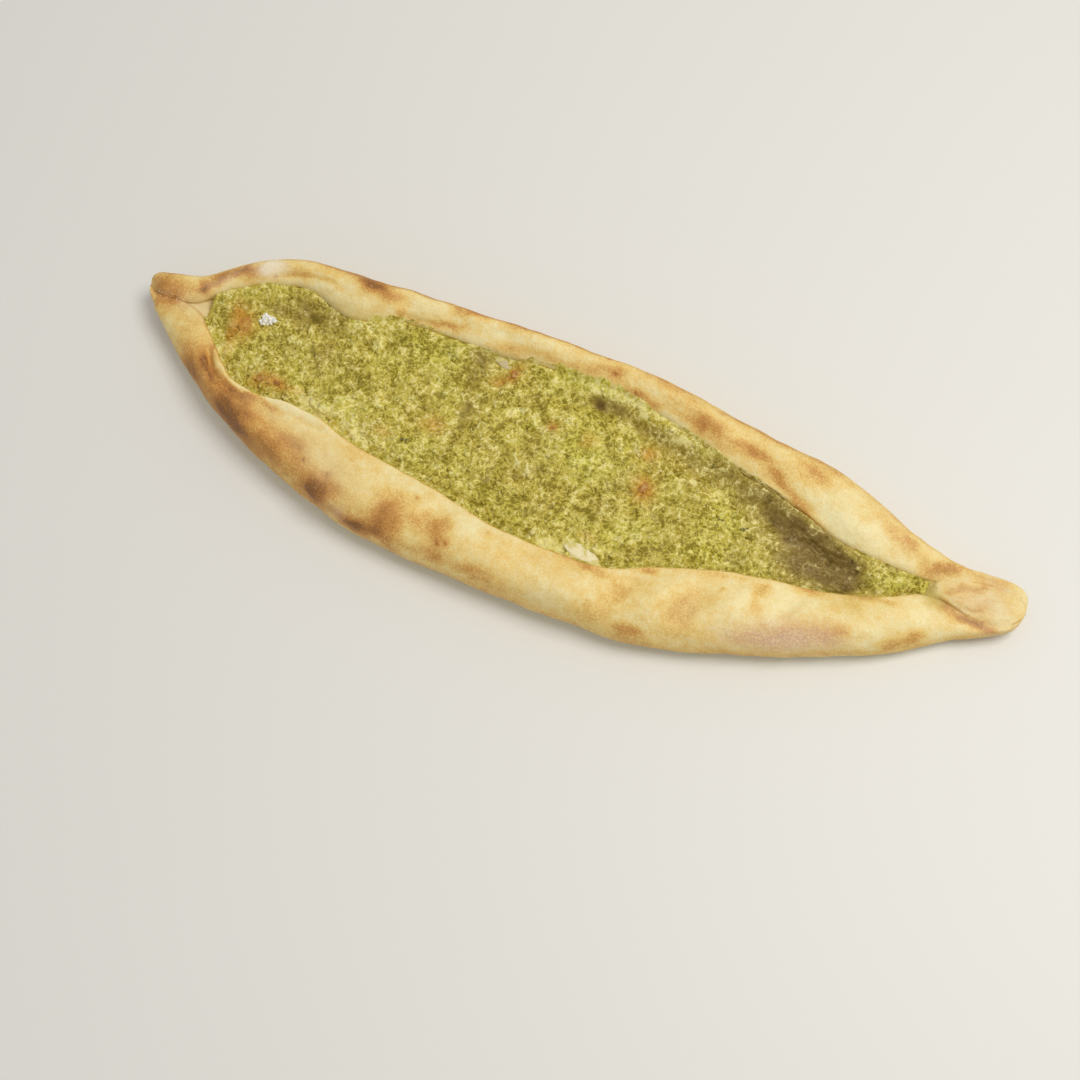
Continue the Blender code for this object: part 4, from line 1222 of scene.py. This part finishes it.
def pebble(uneven, seed):
    """A lumpy round grain one unit across, as (points, faces)."""
    add_mesh(bpy.ops.mesh.primitive_ico_sphere_add, subdivisions=1, radius=0.5)
    points, faces = take_shape()
    return points * (1 + uneven * noise_at(points, 0.6, seed))[:, None], faces


def flake(uneven, seed):
    """A ragged flat flake about one unit across, as (points, faces)."""
    add_mesh(bpy.ops.mesh.primitive_uv_sphere_add, segments=8, ring_count=4, radius=0.5)
    edit_whole((bpy.ops.mesh.quads_convert_to_tris, {}))
    points, faces = take_shape()
    points *= np.clip(1 + uneven * noise_at(points, 0.33, seed), 0.4, 1.6)[:, None]
    return points * (1.2, 1, 1), faces


def shred(bend, seed):
    """A thin curved shred one unit long, as (points, faces)."""
    add_mesh(bpy.ops.mesh.primitive_cylinder_add, vertices=5, radius=0.07, depth=1,
             rotation=(0, math.pi / 2, 0))
    bpy.ops.object.transform_apply(location=False, rotation=True, scale=False)
    cuts = [(bpy.ops.mesh.bisect, {"plane_co": (x, 0, 0), "plane_no": (1, 0, 0)}) for x in (-0.17, 0.17)]
    edit_whole(*cuts, (bpy.ops.mesh.quads_convert_to_tris, {}))
    points, faces = take_shape()
    along = points[:, 0]
    points[:, 1:] *= (1 - 1.5 * along ** 2)[:, None]
    points[:, 2] += bend * (0.25 - along ** 2)
    points[:, 1] += bend * 0.8 * noise_at(points * ALONG, 0.5, seed)
    return points, faces


# How far inside the bed's ends and lips loose pieces lie, and the widest that the open filling gets
OPEN_ENDS, OPEN_NEAR, OPEN_FAR = 1.5, -0.3, 0.4
OPEN_WIDTH = (-30, 38)


def open_places(random, number):
    """Random places on the open filling, in millimetres."""
    found = []
    while len(found) < number:
        x = random.uniform(BED_START + OPEN_ENDS, BED_END - OPEN_ENDS, 4 * number)
        y = random.uniform(*OPEN_WIDTH, 4 * number)
        inside = (y > rim_y(NEAR_RIM, x) + OPEN_NEAR) & (y < rim_y(FAR_RIM, x) - OPEN_FAR)
        found += list(zip(x[inside], y[inside]))
    return np.array(found[:number])


def turned(random, steep):
    """A random turn: any way round, and tilted by up to the given angle in degrees."""
    tilt = math.radians(random.uniform(0, steep))
    spin, roll = (Matrix.Rotation(random.uniform(0, math.tau), 3, "Z") for _ in range(2))
    return np.array(spin @ Matrix.Rotation(tilt, 3, "Y") @ roll)


def scatter(name, kinds, places, sizes, flatness, steep, sunk, tree, skin, random):
    """One mesh of many loose pieces lying at their places, as (object, which piece each point is of)."""
    all_points, all_faces, owners, first = [], [], [], 0
    for index, ((x, y), size) in enumerate(zip(places, sizes)):
        high, covered = height_at(tree, x, y), skin and height_at(skin, x, y)
        if high is None or (covered is not None and covered > high - 0.1):
            continue
        shape, faces = kinds[index % len(kinds)]
        stretch = np.array((1, random.uniform(0.45, 1), 1)) * size
        stretch[2] *= flatness
        placed = (shape * stretch) @ turned(random, steep).T
        placed += (x, y, high + size * flatness * (0.5 - sunk))
        all_points.append(placed)
        all_faces.append(faces + first)
        owners.append(np.full(len(shape), index))
        first += len(shape)
    mesh = bpy.data.meshes.new(name)
    mesh.from_pydata(np.concatenate(all_points) * MM, [], np.concatenate(all_faces).tolist())
    piece = bpy.data.objects.new(name, mesh)
    bpy.context.scene.collection.objects.link(piece)
    return piece, np.concatenate(owners)


# The loose pieces, as (name, sizes, flatness, steepest tilt in degrees, share sunk in the bed, shades)
LOOSE = [
    ("grain", (0.5, 1.3), 0.7, 50, 0.55, (0.4, 0.95)),
    ("flake", (0.5, 1.4), 0.45, 26, 0.76, (0.25, 0.75)),
    ("shred", (0.5, 1.4), 0.9, 18, 0.64, (0.4, 0.9)),
]
# The height at which it is looked up how damp and shaded the bed is
LOOSE_HEIGHT = 12.0


def make_crumbs(settings):
    """The loose grains, flakes and shreds that cover the bed, fewer where it is damp and in painted shade."""
    tree, skin = (tree_of(bpy.data.objects[name]) for name in ("filling_bed", "baked_dough_boat"))
    random = np.random.default_rng(settings.seed)
    kinds = {"grain": [pebble(0.5, seed) for seed in range(6)],
             "flake": [flake(1.1, seed) for seed in range(10, 18)],
             "shred": [shred(bend, seed) for seed, bend in enumerate((0.2, 0.5, -0.3, 0.35))]}
    amounts = {"grain": (settings.grains, settings.grain_size),
               "flake": (settings.flakes, settings.flake_size),
               "shred": (settings.shreds, settings.shred_length)}
    material = green_filling(settings, "loose green filling")
    for kind, spans, flatness, steep, sunk, shades in LOOSE:
        number, size = amounts[kind]
        places = open_places(random, number)
        damp_and_shade = tints_at(np.column_stack([places, np.full(number, LOOSE_HEIGHT)]))[1]
        places = places[damp_and_shade < random.uniform(0.1, 0.8, number)]
        sizes = size / MM * random.uniform(*spans, len(places))
        piece, owners = scatter(f"filling_{kind}s", kinds[kind], places, sizes, flatness, steep, sunk, tree,
                                skin, random)
        shade = random.uniform(*shades, len(places))
        keep_filling_tints(piece, shade[owners])
        finish_piece(piece, "filling", material)


class BOREK_OT_crumbs(bpy.types.Operator):
    """Scatter the filling's loose grains, flakes and shreds over its bed"""

    bl_idname = "borek.crumbs"
    bl_label = "Filling Crumbs"

    def execute(self, context):
        make_crumbs(context.scene.borek_filling)
        return {"FINISHED"}


# ----------------------------------------------------------------------------------------------- the toppings


# The bed's height where none is found, and how many lumps make up the white crumb
BED_USUAL = 12
WHITE_LUMPS = 22


def lump(tree, x, y, long, wide, high, turn, seed, uneven, level):
    """A rough lump half sunk in the bed."""
    piece = add_mesh(bpy.ops.mesh.primitive_ico_sphere_add, subdivisions=level, radius=0.5)
    points = points_of(piece) * MM
    knobs = noise_at(points, 0.42, seed) + 0.4 * noise_at(points, 0.16, seed + 3)
    points *= (1 + uneven * knobs)[:, None] * (long, wide, high)
    points = points @ np.array(Matrix.Rotation(math.radians(turn), 3, "Z")).T
    points += (x, y, (height_at(tree, x, y) or BED_USUAL) + 0.02 * high)
    move_points(piece, points)
    return piece


def lay_lumps(name, rows, uneven, level, material, kept=None):
    """One piece of lumps, as (x, y, length, width, height, turn, seed, number to keep under a name)."""
    tree = tree_of(bpy.data.objects["filling_bed"])
    pieces = []
    for *form, number in rows:
        piece = lump(tree, *form, uneven, level)
        if kept:
            store(piece, kept, np.full(len(piece.data.vertices), number))
        pieces.append(piece)
    select_only(pieces[0])
    for piece in pieces:
        piece.select_set(True)
    bpy.ops.object.join()
    joined = bpy.context.active_object
    joined.name = joined.data.name = name
    finish_piece(joined, "filling", material)


def crumb_white(settings):
    """Chalky white crumb."""
    material, tree = new_material("white crumb")
    dull = spread(tree, grain_noise(tree, 0.8, 3, 0.6), 0.35, 0.6)
    body = blend(tree, dull, settings.chalk, settings.white)
    relief = bump(tree, grain_noise(tree, 0.5, 3, 0.6, 4), 0.15, 0.7)
    return dress(material, body, relief, 0.5, 0.2, (1, 0.95, 0.8), 1.0)


def pale_bit(settings):
    """Soft unbaked dough, tinged by the filling."""
    material, tree = new_material("pale bits")
    tinge = spread(tree, grain_noise(tree, 2.5, 3, 0.6, 6), 0.45, 0.65)
    body = blend(tree, stored(tree, "tan"), settings.bare, settings.tanned)
    body = blend(tree, tinge, body, settings.tinged)
    relief = bump(tree, grain_noise(tree, 1.0, 3, 0.6, 4), 0.15, 0.6)
    return dress(material, body, relief, 0.5, 0.2, (1, 0.9, 0.6), 1.0)


def toasted_bit(settings):
    """Toasted bits: orange to russet by the number kept on the mesh."""
    material, tree = new_material("toasted bits")
    body = blend(tree, stored(tree, "redness"), settings.orange, settings.russet)
    shade = spread(tree, grain_noise(tree, 1.2, 3, 0.6), 0.35, 0.7)
    body = blend(tree, maths(tree, "MULTIPLY", shade, 0.55), body, settings.olive)
    relief = bump(tree, grain_noise(tree, 0.6, 3, 0.6, 4), 0.2, 0.7)
    return dress(material, body, relief, 0.4, 0.25, (1.0, 0.5, 0.15), 1.2, 0.15, 0.2)


def dark_speck(settings):
    """Dark, slightly glossy specks."""
    material, tree = new_material("dark specks")
    shade = grain_noise(tree, 0.5)
    body = blend(tree, shade, settings.speck, settings.speck_light)
    return dress(material, body, bump(tree, shade, 0.1, 0.6), 0.5, 0.15, (1, 0.8, 0.4), 0.6)


class BOREK_OT_toppings(bpy.types.Operator):
    """Lay the white crumb, the pale and toasted bits and the dark specks on the filling"""

    bl_idname = "borek.toppings"
    bl_label = "Toppings"

    def execute(self, context):
        settings = context.scene.borek_filling
        random = np.random.default_rng(settings.seed + 1)
        lay_lumps("white_crumb", self.white_rows(random), 0.8, 2, crumb_white(settings))
        pale = [(*form, 5 * n + 2, tan) for n, (*form, tan) in enumerate(PALE_BITS)]
        lay_lumps("pale_bits", pale, 0.22, 4, pale_bit(settings), "tan")
        toasted = [(*form, 3 * n, red) for n, (*form, red) in enumerate(TOASTED_BITS)]
        lay_lumps("toasted_bits", toasted, 0.6, 4, toasted_bit(settings), "redness")
        specks = [(x, y, size, size * 0.7, size * 0.7, random.uniform(0, 180), n, 0)
                  for n, (x, y, size) in enumerate(DARK_SPECKS)]
        lay_lumps("dark_specks", specks, 0.5, 2, dark_speck(settings))
        return {"FINISHED"}

    @staticmethod
    def white_rows(random):
        """A cluster of small lumps for the white crumb."""
        x, y, long, wide, turn = WHITE_CRUMB
        rows = []
        for number in range(WHITE_LUMPS):
            way, away = random.uniform(0, math.tau), math.sqrt(random.random()) * 0.40
            spot = Vector((long * away * math.cos(way), wide * away * math.sin(way)))
            spot = Matrix.Rotation(math.radians(turn), 2) @ spot
            size = random.uniform(1.0, 1.8)
            form = (x + spot.x, y + spot.y, size, size * 0.9, size * 0.8, random.uniform(0, 180))
            rows.append((*form, number, 0))
        return rows


# -------------------------------------------------------------------------------------------------- the stage


CAMERA_AIM = (6.28, -22.49, 10.0)
FOCAL_LENGTH, SENSOR_WIDTH = 55.0, 36.0
CLIP_START, CLIP_END = 10.0, 10000.0
KEY_PLACE = (390, 190, 940)
FLOOR_DROP = 0.05


def make_camera(settings):
    """A camera at the photograph's viewing angle."""
    turn, rise = settings.camera_azimuth, settings.camera_elevation
    back = Vector((math.sin(turn) * math.cos(rise), -math.cos(turn) * math.cos(rise), math.sin(rise)))
    data = bpy.data.cameras.new("camera")
    data.sensor_fit = "HORIZONTAL"
    data.sensor_width, data.lens = SENSOR_WIDTH, FOCAL_LENGTH
    data.clip_start, data.clip_end = CLIP_START * MM, CLIP_END * MM
    camera = bpy.data.objects.new("camera", data)
    right = (-back).cross(UP).normalized()
    above = right.cross(-back)
    roll = settings.camera_roll
    across = math.cos(roll) * right + math.sin(roll) * above
    upward = math.cos(roll) * above - math.sin(roll) * right
    turned_to = Matrix((across, upward, back)).transposed().to_4x4()
    place = Vector(CAMERA_AIM) * MM + back * settings.camera_distance
    camera.matrix_world = Matrix.Translation(place) @ turned_to
    bpy.context.scene.collection.objects.link(camera)
    bpy.context.scene.camera = camera


def make_floor(settings):
    """A plain pale floor under the pastry."""
    floor = add_mesh(bpy.ops.mesh.primitive_plane_add, size=settings.floor_size, location=(0, 0, 0))
    floor.name = floor.data.name = "floor"
    floor.data.transform(Matrix.Translation(-UP * FLOOR_DROP * MM))
    material, tree = new_material("floor")
    mottle = maths(tree, "MULTIPLY", grain_noise(tree, 120, 2, 0.5), 0.1)
    dress(material, blend(tree, mottle, settings.floor, settings.floor_mottle), None, 0.5)
    floor.data.materials.append(material)


def make_lights(settings):
    """One large soft light from the far side, and even light all round."""
    data = bpy.data.lights.new("key light", "AREA")
    data.shape = "DISK"
    data.size = settings.key_size
    data.energy = settings.key_power
    data.color = settings.key_colour
    key = bpy.data.objects.new("key light", data)
    key.location = Vector(KEY_PLACE) * MM
    key.rotation_euler = (-Vector(KEY_PLACE)).to_track_quat("-Z", "Y").to_euler()
    bpy.context.scene.collection.objects.link(key)
    world = bpy.data.worlds.new("studio")
    world.use_nodes = True
    background = world.node_tree.nodes["Background"]
    background.inputs["Color"].default_value = (*settings.fill_colour, 1)
    background.inputs["Strength"].default_value = settings.fill_strength
    bpy.context.scene.world = world
    bpy.context.scene.view_settings.view_transform = "Standard"


class BOREK_OT_stage(bpy.types.Operator):
    """Set up the floor, the lights and the camera"""

    bl_idname = "borek.stage"
    bl_label = "Stage"

    def execute(self, context):
        settings = context.scene.borek_stage
        make_floor(settings)
        make_lights(settings)
        make_camera(settings)
        return {"FINISHED"}


# ------------------------------------------------------------------------------------------------- the add-on


class BOREK_PT_panel(bpy.types.Panel):
    bl_label = "Sweet Borek"
    bl_idname = "BOREK_PT_panel"
    bl_space_type = "VIEW_3D"
    bl_region_type = "UI"
    bl_category = "Borek"

    def draw(self, context):
        scene = context.scene
        filling = [BOREK_OT_filling, BOREK_OT_crumbs, BOREK_OT_toppings]
        for settings, operators in ((scene.borek_dough, [BOREK_OT_dough]), (scene.borek_filling, filling),
                                    (scene.borek_stage, [BOREK_OT_stage])):
            box = self.layout.box()
            for name in settings.__annotations__:
                box.prop(settings, name)
            for operator in operators:
                box.operator(operator.bl_idname)


SETTINGS = {"borek_dough": BorekDough, "borek_filling": BorekFilling, "borek_stage": BorekStage}
CLASSES = [*SETTINGS.values(), BOREK_OT_dough, BOREK_OT_filling, BOREK_OT_crumbs, BOREK_OT_toppings,
           BOREK_OT_stage, BOREK_PT_panel]


def register():
    for item in CLASSES:
        bpy.utils.register_class(item)
    for name, group in SETTINGS.items():
        setattr(bpy.types.Scene, name, bpy.props.PointerProperty(type=group))


def unregister():
    for name in SETTINGS:
        delattr(bpy.types.Scene, name)
    for item in reversed(CLASSES):
        bpy.utils.unregister_class(item)


def main():
    register()
    bpy.ops.borek.dough()
    bpy.ops.borek.filling()
    bpy.ops.borek.crumbs()
    bpy.ops.borek.toppings()
    bpy.ops.borek.stage()


if __name__ == "__main__":
    main()
